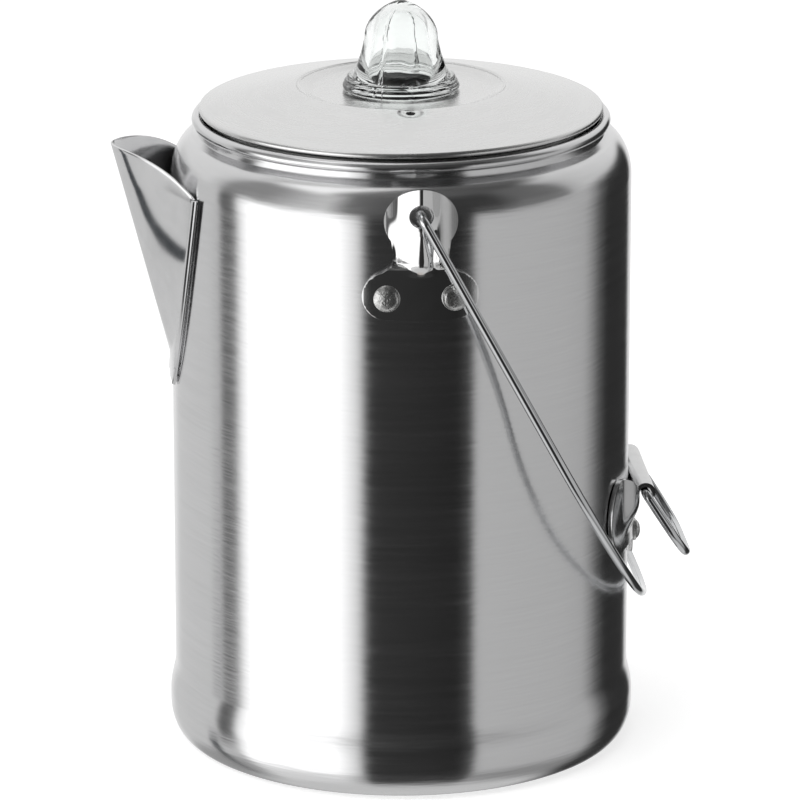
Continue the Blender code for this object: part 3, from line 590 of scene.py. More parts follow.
    @staticmethod
    def blank(name: str, loops: Sequence[Sequence[Point2]], spacing: float = 0.55 * MM) -> bpy.types.Object:
        """Cut a flat blank in the XZ plane, divided finely enough to be pressed to shape.

        Args:
            name: the piece's name.
            loops: (across, height) points: the outline first and then the holes.
            spacing: of the dividing lines.

        Returns:
            The blank; its mesh is one layer thick.
        """
        Workshop.idle()
        bpy.ops.curve.primitive_nurbs_path_add(rotation=(math.pi / 2, 0.0, 0.0))
        piece = bpy.context.object
        piece.name = name
        curve = piece.data
        curve.splines.clear()
        curve.dimensions = "2D"
        curve.fill_mode = "BOTH"
        for points in loops:
            spline = curve.splines.new("POLY")
            spline.points.add(len(points) - 1)
            for knot, (across, height) in zip(spline.points, points):
                knot.co = (across, height, 0.0, 1.0)
            spline.use_cyclic_u = True
        bpy.ops.object.convert(target="MESH")
        piece = bpy.context.object
        piece.data.name = name
        Workshop.settle(piece)
        Workshop.tidy(piece)
        for axis in (0, 2):
            places = [corner.co[axis] for corner in piece.data.vertices]
            low, high = min(places), max(places)
            count = round((high - low) / spacing)
            normal = Vector((1 - axis // 2, 0.0, axis // 2))
            bpy.ops.object.mode_set(mode="EDIT")
            for cut in range(1, count):
                bpy.ops.mesh.select_all(action="SELECT")
                bpy.ops.mesh.bisect(plane_co=normal * (low + (high - low) * cut / count), plane_no=normal)
            bpy.ops.object.mode_set(mode="OBJECT")
        Workshop.tidy(piece, 0.01 * MM)
        return piece

    @staticmethod
    def press(piece: bpy.types.Object, shape: Callable[[float, float], Point3], outwards: Point3) -> None:
        """Press a blank to shape.

        Args:
            piece: the blank.
            shape: place of a point of the pressed sheet, from its place across and up the blank.
            outwards: a direction that the sheet's outer face looks to.
        """
        for corner in piece.data.vertices:
            corner.co = shape(corner.co.x, corner.co.z)
        piece.data.update()
        total = Vector((0.0, 0.0, 0.0))
        for polygon in piece.data.polygons:
            total += polygon.normal * polygon.area
        if total.dot(Vector(outwards)) < 0.0:
            piece.data.flip_normals()

    @staticmethod
    def wire(name: str, points: Sequence[Point3], radius: float, closed: bool = False) -> bpy.types.Object:
        """Draw a round wire through points, with rounded tips where it is open.

        Args:
            name: the piece's name.
            points: the middle of the wire.
            radius: of the wire.
            closed: whether it is a loop.

        Returns:
            The wire, as a mesh.
        """
        Workshop.idle()
        bpy.ops.curve.primitive_nurbs_path_add()
        piece = bpy.context.object
        piece.name = name
        curve = piece.data
        curve.splines.clear()
        spline = curve.splines.new("POLY")
        spline.points.add(len(points) - 1)
        for knot, spot in zip(spline.points, points):
            knot.co = (*spot, 1.0)
        spline.use_cyclic_u = closed
        curve.bevel_depth = radius
        curve.bevel_resolution = 6
        curve.use_fill_caps = not closed
        bpy.ops.object.convert(target="MESH")
        piece = bpy.context.object
        Workshop.tidy(piece)
        if not closed:
            Workshop.soften(piece, 0.35 * radius, degrees=60.0, segments=3)
        Workshop.smooth(piece, 50.0)
        return piece

    @staticmethod
    def drill(piece: bpy.types.Object, places: Iterable[Point3], radius: float, depth: float,
              direction: Point3 = (0.0, 0.0, 1.0)) -> None:
        """Cut round holes.

        Args:
            piece: the object to cut.
            places: middles of the holes.
            radius: of each hole.
            depth: length of the drill.
            direction: along the drill.
        """
        turn = Vector(direction).to_track_quat("Z", "Y").to_euler()
        drills = []
        for place in places:
            Workshop.idle()
            bpy.ops.mesh.primitive_cylinder_add(vertices=20, radius=radius, depth=depth, location=place,
                                                rotation=turn)
            drills.append(bpy.context.object)
        Workshop.idle()
        for drill in drills:
            drill.select_set(True)
        bpy.context.view_layer.objects.active = drills[0]
        bpy.ops.object.join()
        drill = bpy.context.object
        Workshop.apply(piece, "BOOLEAN", operation="DIFFERENCE", solver="EXACT", object=drill)
        bpy.data.objects.remove(drill, do_unlink=True)


def arc(centre: Point2, radii: Point2, start: float, end: float, count: int) -> list[Point2]:
    """Points on an elliptical arc, both ends included.

    Args:
        centre: of the arc.
        radii: across and up.
        start: first angle, in degrees.
        end: last angle, in degrees.
        count: steps between them.

    Returns:
        The points.
    """
    angles = (math.radians(start + (end - start) * step / count) for step in range(count + 1))
    return [(centre[0] + radii[0] * math.cos(a), centre[1] + radii[1] * math.sin(a)) for a in angles]


def smooth_step(value: float) -> float:
    """A smooth rise from 0 to 1 as a value goes from 0 to 1."""
    share = min(max(value, 0.0), 1.0)
    return share * share * (3.0 - 2.0 * share)


def register(piece: bpy.types.Object, body: str, finish: Finish, *nodes: str) -> bpy.types.Object:
    """Dress a piece, let it ride and stand for its CAD nodes.

    Args:
        piece: the finished object.
        body: the CAD body that it moves with.
        finish: its surface.
        nodes: the CAD nodes that it replaces.

    Returns:
        The piece.
    """
    piece.data.materials.clear()
    piece.data.materials.append(finish.build())
    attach(piece, body)
    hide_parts(*nodes)
    LOG.info("%s: %d faces, rides on %s", piece.name, len(piece.data.polygons), body)
    return piece


def radius_of(node: str) -> float:
    """Largest radius of a CAD node about the Z axis, from its box."""
    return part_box(node)[1].x


def foot_of(node: str) -> float:
    """Height of a CAD node's lowest point."""
    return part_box(node)[0].z


def top_of(node: str) -> float:
    """Height of a CAD node's highest point."""
    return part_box(node)[1].z


@dataclass
class Pot:
    """The spun pot: straight wall, swelled foot, shoulder, neck and rolled rim, with strainer holes."""

    radius: float = 64.0 * MM
    wall: float = 1.2 * MM
    wall_top: float = 162.0 * MM
    shoulder_rise: float = 11.5 * MM
    shoulder_depth: float = 7.6 * MM
    swell: float = 1.5 * MM
    swell_bottom: float = 11.5 * MM
    swell_top: float = 21.0 * MM
    foot_across: float = 4.8 * MM
    foot_up: float = 8.5 * MM
    bead: float = 1.55 * MM
    neck_rise: float = 4.0 * MM
    base_recess: float = 0.5 * MM
    strainer_radius: float = 1.8 * MM
    strainer_pitch: float = 7.5 * MM
    finish: Finish = TurnedAluminium("brushed_pot", Slot.SATIN_ALUMINIUM, roughness=0.175, stretch=0.85,
                                     line_contrast=0.08, line_depth=0.006 * MM, lines_round=4.0,
                                     jag=0.035 * MM, jag_pitch=0.9 * MM, waviness=0.02 * MM)

    @property
    def mouth(self) -> float:
        """Radius of the mouth."""
        return self.radius - self.shoulder_depth + 0.15 * MM - self.bead

    def swelled(self, radius: float) -> list[Point2]:
        """The smooth step out to the foot, for a wall of a radius."""
        points = []
        for step in range(9):
            share = step / 8
            height = self.swell_top + (self.swell_bottom - self.swell_top) * share
            points.append((radius + self.swell * smooth_step(share), height))
        return points

    def profile(self) -> list[Point2]:
        """From the middle of the floor inside, over the rim and down to the middle of the base."""
        neck = self.mouth + self.wall
        centre = self.radius - self.shoulder_depth
        shoulder_top = self.wall_top + self.shoulder_rise
        foot = (self.radius + self.swell - self.foot_across, self.foot_up)
        inner_foot = (self.foot_across - self.wall, self.foot_up - self.wall)
        inside = [(0.0, self.wall), (40 * MM, self.wall)]
        inside += arc(foot, inner_foot, -90, 0, 8)
        inside += self.swelled(self.radius - self.wall)[::-1]
        inside += arc((centre, self.wall_top), (self.shoulder_depth - self.wall, self.shoulder_rise - self.wall),
                      0, 80, 9)
        inside += [(self.mouth + 0.4 * MM, shoulder_top - 0.4 * MM), (self.mouth, shoulder_top + 0.9 * MM)]
        rim = arc((centre + 0.15 * MM, shoulder_top + self.neck_rise), (self.bead, self.bead), 180, -100, 22)
        neck_curve = [(neck + 0.10 * MM, shoulder_top + 1.9 * MM), (neck, shoulder_top + 1.3 * MM),
                      (neck + 0.25 * MM, shoulder_top + 0.5 * MM)]
        outside = arc((centre, self.wall_top), (self.shoulder_depth, self.shoulder_rise), 82, 0, 16)
        outside += self.swelled(self.radius)
        outside += arc(foot, (self.foot_across, self.foot_up), 0, -90, 14)
        outside += [(foot[0] - 3 * MM, 0.0), (foot[0] - 4.5 * MM, self.base_recess), (30 * MM, self.base_recess),
                    (29 * MM, self.base_recess + 0.3 * MM), (0.0, self.base_recess + 0.3 * MM)]
        return inside + rim + neck_curve + outside

    def build(self) -> bpy.types.Object:
        """Returns:
            The pot.
        """
        pot = Workshop.lathe("pot_shell", self.profile(), 192)
        places = []
        for row in range(4):
            height = self.wall_top - 26 * MM - row * self.strainer_pitch
            places += [(-self.radius, column * self.strainer_pitch, height) for column in (-1, 0, 1)]
        Workshop.drill(pot, places, self.strainer_radius, 12 * MM, (1, 0, 0))
        Workshop.smooth(pot)
        return register(pot, "pot", self.finish, "pot_body")


@dataclass
class Spout:
    """The folded sheet spout with a hem down each side."""

    pot: Pot
    sheet: float = 0.55 * MM
    gap: float = 0.3 * MM
    tip_reach: float = 16.6 * MM
    tip_rise: float = 9.9 * MM
    height: float = 57.6 * MM
    tongue: float = 7.5 * MM
    top_angle: float = math.radians(24.4)
    bottom_angle: float = math.radians(6.0)
    bow_round: float = 0.28
    flank_curl: float = 0.5
    flank_lead: float = 0.8
    mouth_arch: float = 2.7
    hem: float = 2.4 * MM
    hem_share: float = 0.22
    finish: Finish = SheetMetal("bright_spout", Slot.BRIGHT_ALUMINIUM, colour=(0.86, 0.86, 0.865),
                                roughness=0.10, waviness=0.05 * MM, wave_length=14 * MM)

    def hem_lift(self, distance: float) -> float:
        """Height of the hem off the wall at a distance outside the spout's side: a roll, a groove and a lip."""
        roll = smooth_step(distance / (0.3 * MM)) * smooth_step((1.15 * MM - distance) / (0.3 * MM))
        lip = smooth_step((distance - 1.6 * MM) / (0.25 * MM))
        return 0.8 * MM * roll + 0.4 * MM * lip

    def point(self, across: float, up: float) -> Point3:
        """Place of a point of the spout's inner face, from its shares across and up."""
        wall = self.pot.radius + self.gap
        side = 2.0 * across - 1.0
        main = 1.0 - self.hem_share
        beyond = max(abs(side) - main, 0.0) / self.hem_share
        off_bow = min(abs(side) / main, 1.0)
        bottom = self.pot.wall_top - self.height
        top = self.pot.wall_top + self.tip_rise * (1.0 - off_bow ** self.mouth_arch)
        height = bottom + (top - bottom) * up
        share = min(max((height - bottom) / self.height, 0.0), 1.0)
        rounded = (math.hypot(share, 0.04) - 0.04) / (math.hypot(1.0, 0.04) - 0.04)
        half = self.bottom_angle + (self.top_angle - self.bottom_angle) * rounded ** 0.6
        sign = math.copysign(1.0, side)
        if beyond > 0.0:
            distance = beyond * self.hem
            angle = half + distance / wall
            reach = wall + self.hem_lift(distance) * (0.35 + 0.65 * smooth_step(share / 0.2))
            return (-reach * math.cos(angle), -sign * reach * math.sin(angle), height)
        edge = (wall * math.cos(half), wall * math.sin(half))
        rounding = self.bow_round
        bow_curve = (math.hypot(off_bow, rounding) - rounding) / (math.hypot(1.0, rounding) - rounding)
        ogee = (1.0 - math.cos(math.pi * off_bow ** self.flank_lead)) / 2
        curve = bow_curve + (ogee - bow_curve) * self.flank_curl * smooth_step((0.85 - share) / 0.5)
        bow_foot = bottom + self.tongue
        bow = wall + (self.tip_reach - self.gap - self.sheet) * max(height - bow_foot, 0.0) / (
            self.pot.wall_top + self.tip_rise - bow_foot)
        reach = bow + (edge[0] - bow) * curve
        against_wall = math.sqrt(wall ** 2 - (edge[1] * off_bow) ** 2)
        return (-max(reach, against_wall), -sign * edge[1] * off_bow, height)

    def build(self) -> bpy.types.Object:
        """Returns:
            The spout.
        """
        spout = Workshop.grid("spout_sheet", 110, 64, self.point, self.sheet, 0.08 * MM)
        return register(spout, "pot", self.finish, "spout")


@dataclass
class Lid:
    """The pressed lid: dished seat, pressed ring, domed cone, rolled rim, skirt and dimpled vent."""

    sheet: float = 0.8 * MM
    rim: float = 56.0 * MM
    rim_height: float = 2.0 * MM
    skirt_drop: float = 11.0 * MM
    ring: float = 28.0 * MM
    rise: float = 5.6 * MM
    dish: float = 1.5 * MM
    dish_radius: float = 24.0 * MM
    hole: float = 12.2 * MM
    vent_place: float = 31.0 * MM
    vent_radius: float = 1.3 * MM
    vent_reach: float = 3.6 * MM
    vent_depth: float = 0.55 * MM
    finish: Finish = PressedLid("satin_lid", Slot.BRIGHT_ALUMINIUM, colour=(0.90, 0.90, 0.895),
                                roughness=0.27, line_contrast=0.05, line_depth=0.004 * MM,
                                waviness=0.10 * MM, wave_length=26 * MM)

    @property
    def base(self) -> float:
        """Height of the underside of the rim."""
        return foot_of("lid") + self.skirt_drop

    def profile(self) -> list[Point2]:
        """From the top edge of the knob's hole, over the rim, and back under the sheet."""
        edge = self.base + self.rim_height
        seat = edge + self.rise - self.dish
        crest = edge + self.rise
        skirt = radius_of("lid") - 2.2 * MM
        top = [(self.hole, seat), (self.dish_radius, seat)]
        for step in range(13):
            share = step / 12
            across = self.dish_radius + (self.ring + 1.5 * MM - self.dish_radius) * share
            top.append((across, seat + self.dish * smooth_step(share)))
        for step in range(1, 30):
            share = step / 30
            across = self.ring + 1.5 * MM + (self.rim - 1.2 * MM - self.ring - 1.5 * MM) * share
            top.append((across, crest - (self.rise - 0.1 * MM) * share ** 1.12))
        top += arc((self.rim - 0.9 * MM, edge - 0.95 * MM), (0.9 * MM, 0.95 * MM), 80, -75, 14)
        under = [(self.rim - 1.5 * MM, self.base), (skirt + 0.5 * MM, self.base),
                 (skirt, self.base - 0.5 * MM), (skirt, self.base - self.skirt_drop)]
        inner = skirt - self.sheet
        under += [(inner, self.base - self.skirt_drop), (inner, edge - 1.5 * MM),
                  (inner - 1.0 * MM, edge - 0.6 * MM), (self.ring, crest - self.sheet),
                  (self.dish_radius, seat - self.sheet), (self.hole, seat - self.sheet)]
        return top + under

    def build(self) -> bpy.types.Object:
        """Returns:
            The lid.
        """
        lid = Workshop.lathe("lid_pressing", self.profile(), 192, closed=True)
        for corner in lid.data.vertices:
            away = math.hypot(corner.co.x, corner.co.y + self.vent_place)
            corner.co.z -= self.vent_depth * math.exp(-(away / self.vent_reach) ** 4)
        seat = self.base + self.rim_height + self.rise
        Workshop.drill(lid, [(0.0, -self.vent_place, seat)], self.vent_radius, 8 * MM)
        Workshop.smooth(lid)
        return register(lid, "lid", self.finish, "lid")


@dataclass
class GlassKnob:
    """The hollow pressed-glass knob with a stepped flange, mould seam, stop lug and bayonet lugs."""

    seat_gap: float = 0.3 * MM
    flange: float = 16.2 * MM
    neck: float = 11.8 * MM
    glass: float = 2.6 * MM
    dome: float = 10.2 * MM
    dome_start: float = 14.5 * MM
    lug_reach: float = 2.2 * MM
    lug_width: float = 6.0 * MM
    lug_height: float = 1.3 * MM
    seam_angle: float = math.radians(238.0)
    stop_angle: float = math.radians(279.0)
    finish: Finish = PressedGlass("pressed_glass", Slot.CLEAR_GLASS)

    def profile(self) -> tuple[list[Point2], float]:
        """The outer and inner outline of the glass, and the height of its seat."""
        top = top_of("glass_knob")
        low = foot_of("glass_knob")
        seat = low + self.lug_height + 0.8 * MM + 2 * self.seat_gap
        dome = seat - self.seat_gap + self.dome_start
        outside = [(reach * (1.0 - 0.28 * ((height - dome) / (top - dome)) ** 3), height)
                   for reach, height in arc((0.0, dome), (self.dome, top - dome), 90, 0, 18)]
        outside += [(10.75 * MM, seat + 11.6 * MM), (11.35 * MM, seat + 9.4 * MM), (12.1 * MM, seat + 7.2 * MM),
                    (12.9 * MM, seat + 5.4 * MM), (13.35 * MM, seat + 4.5 * MM), (13.6 * MM, seat + 3.9 * MM)]
        outside += arc((14.3 * MM, seat + 3.3 * MM), (0.75 * MM, 0.6 * MM), 120, 0, 5)
        outside += arc((15.0 * MM, seat + 2.1 * MM), (0.75 * MM, 0.6 * MM), 100, 0, 5)
        outside += arc((self.flange - 0.9 * MM, seat + 0.95 * MM), (0.9 * MM, 0.9 * MM), 65, -85, 9)
        outside += [(self.neck + 0.3 * MM, seat), (self.neck, seat - 0.3 * MM), (self.neck, low)]
        bore = self.neck - self.glass
        inside = [(bore, low), (bore, seat + 1.5 * MM), (bore + 0.5 * MM, seat + 3.0 * MM),
                  (bore + 0.4 * MM, seat + 5.0 * MM), (8.7 * MM, seat + 8.0 * MM)]
        inside += arc((0.0, dome), (self.dome - self.glass, top - dome - self.glass), 0, 90, 12)
        return outside + inside, seat

    def build(self) -> bpy.types.Object:
        """Returns:
            The knob.
        """
        outline, seat = self.profile()
        knob = Workshop.lathe("knob_glass", outline, 224)
        for corner in knob.data.vertices:
            self.press(corner, seat)
        low = foot_of("glass_knob")
        middle = self.neck - self.glass / 2 + self.lug_reach / 2
        for sign in (-1, 1):
            Workshop.idle()
            bpy.ops.mesh.primitive_cube_add(size=1.0, location=(sign * middle, 0.0, low + self.lug_height / 2),
                                            scale=(self.glass + self.lug_reach, self.lug_width, self.lug_height))
            lug = bpy.context.object
            Workshop.settle(lug)
            Workshop.soften(lug, 0.3 * MM)
            Workshop.apply(knob, "BOOLEAN", operation="UNION", solver="EXACT", object=lug)
            bpy.data.objects.remove(lug, do_unlink=True)
        Workshop.smooth(knob, 35.0)
        return register(knob, "glass_knob", self.finish, "glass_knob")

    def press(self, corner: bpy.types.MeshVertex, seat: float) -> None:
        """Raise the mould seam and the stop lug at one point of the outer skin."""
        spot = corner.co
        reach = math.hypot(spot.x, spot.y)
        outer = self.dome - 1.2 * MM if spot.z < seat + 16 * MM else 0.0
        if reach < max(outer, 0.5 * MM) or spot.z < seat + 1.0 * MM:
            return
        angle = math.atan2(spot.y, spot.x) % math.tau
        seam = min(abs(angle - self.seam_angle), abs(angle - (self.seam_angle + math.pi) % math.tau))
        ridge = 0.32 * MM * math.exp(-(seam * reach / (0.3 * MM)) ** 2)
        ridge *= 1.0 + 0.6 * math.sin(spot.z / (0.55 * MM))
        stop = math.hypot((angle - self.stop_angle) * reach / (1.5 * MM), (spot.z - seat - 3.9 * MM) / (1.1 * MM))
        ridge += 1.3 * MM * math.exp(-stop ** 2)
        spot.x *= 1.0 + ridge / reach
        spot.y *= 1.0 + ridge / reach


@dataclass
class Rivets:
    """The domed rivets that hold the ears and the ring's bracket."""

    pot: Pot
    spacing: float = 18.0 * MM
    shank: float = 1.6 * MM
    tail: float = 0.9 * MM
    finish: Finish = HammeredRivet("hammered_rivet", Slot.RIVET_ALUMINIUM)

    def rivet(self, name: str, node: str, place: Point3, head: float, height: float, stand: float) -> None:
        """Args:
            name: the piece's name.
            node: the CAD node that it replaces.
            place: on the pot's wall.
            head: radius of the head.
            height: of the head.
            stand: distance of the head's underside from the pot's wall.
        """
        back = -self.pot.wall - 0.3 * MM
        points = [(0.0, back - self.tail)] + arc((0.0, back), (2 * self.shank, -self.tail), 75, 8, 6)
        points += [(self.shank, back), (self.shank, stand)]
        points += [(head - 0.15 * MM, stand), (head, stand + 0.2 * MM), (head - 0.1 * MM, stand + 0.38 * height)]
        points += arc((0.0, stand + 0.38 * height), (head - 0.55 * MM, 0.62 * height), 12, 90, 9)
        rivet = Workshop.lathe(name, points, 40)
        outwards = Vector((place[0], place[1], 0.0)).normalized()
        turn = outwards.to_track_quat("Z", "Y").to_matrix().to_4x4()
        rivet.data.transform(Matrix.Translation(place) @ turn)
        register(rivet, "pot", self.finish, node)

    def build(self) -> None:
        """Build the four ear rivets and the bracket's rivet."""
        for side_name, side in (("front", -1), ("back", 1)):
            for end, across in (("left", -self.spacing / 2), ("right", self.spacing / 2)):
                node = f"ear_rivet_{side_name}_{end}"
                low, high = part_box(node)
                along = side * math.sqrt(self.pot.radius ** 2 - across ** 2)
                place = (across, along, (low.z + high.z) / 2)
                self.rivet(f"rivet_{side_name}_{end}", node, place, 3.6 * MM, 1.0 * MM, 1.6 * MM)
        low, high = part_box("bracket_rivet")
        place = (self.pot.radius, 0.0, (low.z + high.z) / 2)
        self.rivet("rivet_bracket", "bracket_rivet", place, 3.25 * MM, 2.2 * MM, 1.8 * MM)


@dataclass
class Ear:
    """A pressed steel ear: bowed eye, creased neck and wide foot that follows the pot."""

    pot: Pot
    side: int
    body_gap: float = 0.3 * MM
    standoff: float = 1.6 * MM
    sheet: float = 1.0 * MM
    eye: float = 9.65 * MM
    eye_half_height: float = 9.0 * MM
    bow: float = 1.8 * MM
    hole: float = 3.2 * MM
    neck: float = 7.2 * MM
    foot: float = 15.6 * MM
    eye_drop: float = 1.5 * MM
    crease: float = 0.55 * MM

    @property
    def name(self) -> str:
        """Front or back."""
        return "front" if self.side < 0 else "back"

    def outline(self) -> list[Point2]:
        """Right half of the outline as (across, height under the pivot), from the top down."""
        lobe = 6.6 * MM
        right = arc((0.0, -self.eye_drop), (self.eye, self.eye_half_height), 90, -36, 20)
        right += [(7.45 * MM, -9.3 * MM), (7.2 * MM, -10.8 * MM), (7.2 * MM, -12.2 * MM), (7.7 * MM, -13.6 * MM),
                  (8.8 * MM, -14.9 * MM), (10.2 * MM, -15.9 * MM)]
        right += arc((self.foot - lobe, -22.5 * MM), (lobe, lobe), 62, -70, 16)
        right += [(7.5 * MM, -29.0 * MM), (3.5 * MM, -29.25 * MM)]
        return right

    def reach(self, across: float, below: float) -> float:
        """Distance of the ear's inner face from the XZ plane, at a distance below the pivot."""
        wall = math.sqrt((self.pot.radius + self.body_gap) ** 2 - across ** 2)
        flat = self.pot.radius + self.standoff - self.bow * (across / self.eye) ** 2
        ledge = 16.0 * MM - 0.42 * min(abs(across), 9 * MM)
        share = smooth_step((ledge - below) / (2.6 * MM))
        width = 0.7 * MM + 0.24 * max(below - 4 * MM, 0.0)
        window = smooth_step((below - 3.4 * MM) / (3.0 * MM)) * smooth_step((17.5 * MM - below) / (2.5 * MM))
        ridge = self.crease * window * math.exp(-(across / width) ** 2)
        return wall + (flat - wall) * share + ridge

    def build(self) -> bpy.types.Object:
        """Returns:
            The ear.
        """
        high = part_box(f"bail_ear_{self.name}")[1]
        pivot = high.z - self.eye_half_height + self.eye_drop
        right = self.outline()
        loop = right + [(-across, height) for across, height in right[:0:-1]]
        hole = arc((0.0, 0.0), (self.hole, self.hole), 0, 360, 48)[:-1]
        ear = Workshop.blank(f"ear_{self.name}", [loop, hole])
        Workshop.press(ear, lambda across, height: (
            across, self.side * self.reach(across, -height), pivot + height), (0.0, self.side, 0.0))
        Workshop.thicken(ear, self.sheet, 0.22 * MM)
        finish = FoldedSheet(f"polished_ear_{self.name}", Slot.POLISHED_STEEL, colour=(0.86, 0.86, 0.86),
                             roughness=0.07, smudge=0.08, rust=0.75, waviness=0.06 * MM, wave_length=8 * MM,
                             rust_place=(-0.5 * MM, self.side * (self.pot.radius + MM), pivot - 15.5 * MM),
                             rust_size=1.5 * MM, fold_top=pivot, fold_foot=pivot - 14 * MM)
        return register(ear, "pot", finish, f"bail_ear_{self.name}")


@dataclass
class Bail:
    """The wire bail, sprung into both ears."""

    pot: Pot
    wire: float = 1.25 * MM
    length: float = 142.5 * MM
    rest_gap: float = 2.57 * MM
    bend: float = 2.2 * MM
    tip_gap: float = 0.9 * MM
    finish: Finish = SheetMetal("plated_bail", Slot.PLATED_WIRE, colour=(0.78, 0.79, 0.80), roughness=0.05,
                                smudge=0.05, waviness=0.02 * MM)

    def build(self, pivot: float) -> bpy.types.Object:
        """Args:
            pivot: height of the bail's pivot axis.

        Returns:
            The bail.
        """
        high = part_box("bail")[1]
        half = high.y - self.wire
        rise = (pivot - self.pot.wall_top) / self.pot.shoulder_rise
        centre = self.pot.radius - self.pot.shoulder_depth
        tip = centre + self.pot.shoulder_depth * math.sqrt(1.0 - rise * rise) + self.tip_gap
        side = [(0.0, tip)] + arc((self.bend, half - self.bend), (self.bend, self.bend), 180, 90, 10)
        bow = arc((self.length - half, 0.0), (half, half), 90, -90, 120)
        flat = side + bow + [(down, -across) for down, across in side[::-1]]
        droop = math.acos((self.pot.radius + self.rest_gap + self.wire) / self.length)
        points = [(down * math.cos(droop), across, pivot - down * math.sin(droop)) for down, across in flat]
        bail = Workshop.wire("bail_wire", points, self.wire)
        return register(bail, "bail", self.finish, "bail")


@dataclass
class TiltRing:
    """The wire ring that tips the pot."""

    wire: float = 1.25 * MM
    length: float = 23.85 * MM
    corner: float = 12.0 * MM
    bend: float = 1.65 * MM
    sway: float = math.radians(32.5)
    finish: Finish = SheetMetal("plated_ring", Slot.PLATED_WIRE, colour=(0.76, 0.77, 0.78), roughness=0.07,
                                smudge=0.06, waviness=0.02 * MM)

    def build(self, axis: Point2) -> bpy.types.Object:
        """Args:
            axis: reach and height of the ring's hinge axis.

        Returns:
            The ring.
        """
        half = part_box("tilt_ring")[1].y - self.wire
        side = [(0.0, 0.0)] + arc((self.bend, half - self.bend), (self.bend, self.bend), 180, 90, 8)
        side += arc((self.length - self.corner, half - self.corner), (self.corner, self.corner), 90, 0, 20)
        flat = side + [(down, -across) for down, across in side[:0:-1]]
        points = [(axis[0] + down * math.sin(self.sway), across, axis[1] - down * math.cos(self.sway))
                  for down, across in flat]
        ring = Workshop.wire("ring_wire", points, self.wire, closed=True)
        return register(ring, "tilt_ring", self.finish, "tilt_ring")


@dataclass
class RingBracket:
    """The one-piece bracket: two lobes on the wall, a tongue for the rivet, and a tab curled over the ring."""

    pot: Pot
    gap: float = 0.3 * MM
    sheet: float = 1.2 * MM
    curl: float = 2.85 * MM
    curl_end: float = math.radians(-35.0)
    tab: float = 18.6 * MM
    lobe: float = 33.5 * MM
    lobe_rise: float = 6.6 * MM
    lobe_height: float = 21.3 * MM
    tongue: float = 8.0 * MM
    tongue_drop: float = 22.8 * MM
    dish_low: float = 11.5 * MM
    dish_high: float = 2.0 * MM
    web: float = 8.0 * MM

    def outline(self) -> list[Point2]:
        """The right half of the flattened outline as (across, height above the ring's axis), from the top middle round
        to the bottom middle.
        """
        top = self.curl * (math.pi - self.curl_end)
        half_height = self.lobe_height / 2
        half_width = 0.6 * half_height
        right = [(0.0, top), (self.tab - 0.5 * MM, top), (self.tab, top - 0.5 * MM), (self.tab, 0.2 * MM)]
        right += [(self.tab + 0.25 * MM, -0.1 * MM), (self.tab + 1.2 * MM, 0.9 * MM)]
        right += [(self.tab + 2.6 * MM, 3.1 * MM), (self.tab + 4.4 * MM, self.lobe_rise - 1.4 * MM),
                  (self.tab + 6.2 * MM, self.lobe_rise - 0.35 * MM)]
        right += arc((self.lobe - half_width, self.lobe_rise - half_height), (half_width, half_height), 88, -80, 24)
        right += [(self.tongue + 9 * MM, self.lobe_rise - self.lobe_height + 0.2 * MM),
                  (self.tongue + 3.5 * MM, self.lobe_rise - self.lobe_height - 0.7 * MM),
                  (self.tongue + 1.0 * MM, self.lobe_rise - self.lobe_height - 2.2 * MM)]
        right += arc((0.0, self.tongue - self.tongue_drop), (self.tongue, self.tongue), 0, -90, 14)
        return right

    def build(self, axis: Point2) -> bpy.types.Object:
        """Args:
            axis: reach and height of the ring's hinge axis.

        Returns:
            The bracket.
        """
        wall = self.pot.radius + self.gap

        def shape(across: float, height: float) -> Point3:
            """Place of a point of the face towards the pot."""
            if height > 0.0 and abs(across) < self.tab + 0.01 * MM:
                turn = math.pi - height / self.curl
                return (axis[0] + self.curl * math.cos(turn), across, axis[1] + self.curl * math.sin(turn))
            along = math.sqrt(wall ** 2 - across ** 2)
            dish = smooth_step((height + self.dish_low) / (self.dish_low - self.dish_high))
            dish *= smooth_step((self.tab + self.web - abs(across)) / self.web)
            return (along + (axis[0] - self.curl - along) * dish, across, axis[1] + height)

        right = self.outline()
        loop = right + [(-across, height) for across, height in right[-2:0:-1]]
        bracket = Workshop.blank("bracket_plate", [loop], 0.6 * MM)
        Workshop.press(bracket, shape, (1.0, 0.0, 0.0))
        Workshop.thicken(bracket, self.sheet, 0.25 * MM)
        finish = SheetMetal("polished_bracket", Slot.POLISHED_STEEL, colour=(0.74, 0.74, 0.74), roughness=0.14,
                            smudge=0.16, waviness=0.08 * MM, wave_length=6 * MM, scratch_depth=0.008 * MM)
        return register(bracket, "pot", finish, "ring_bracket")


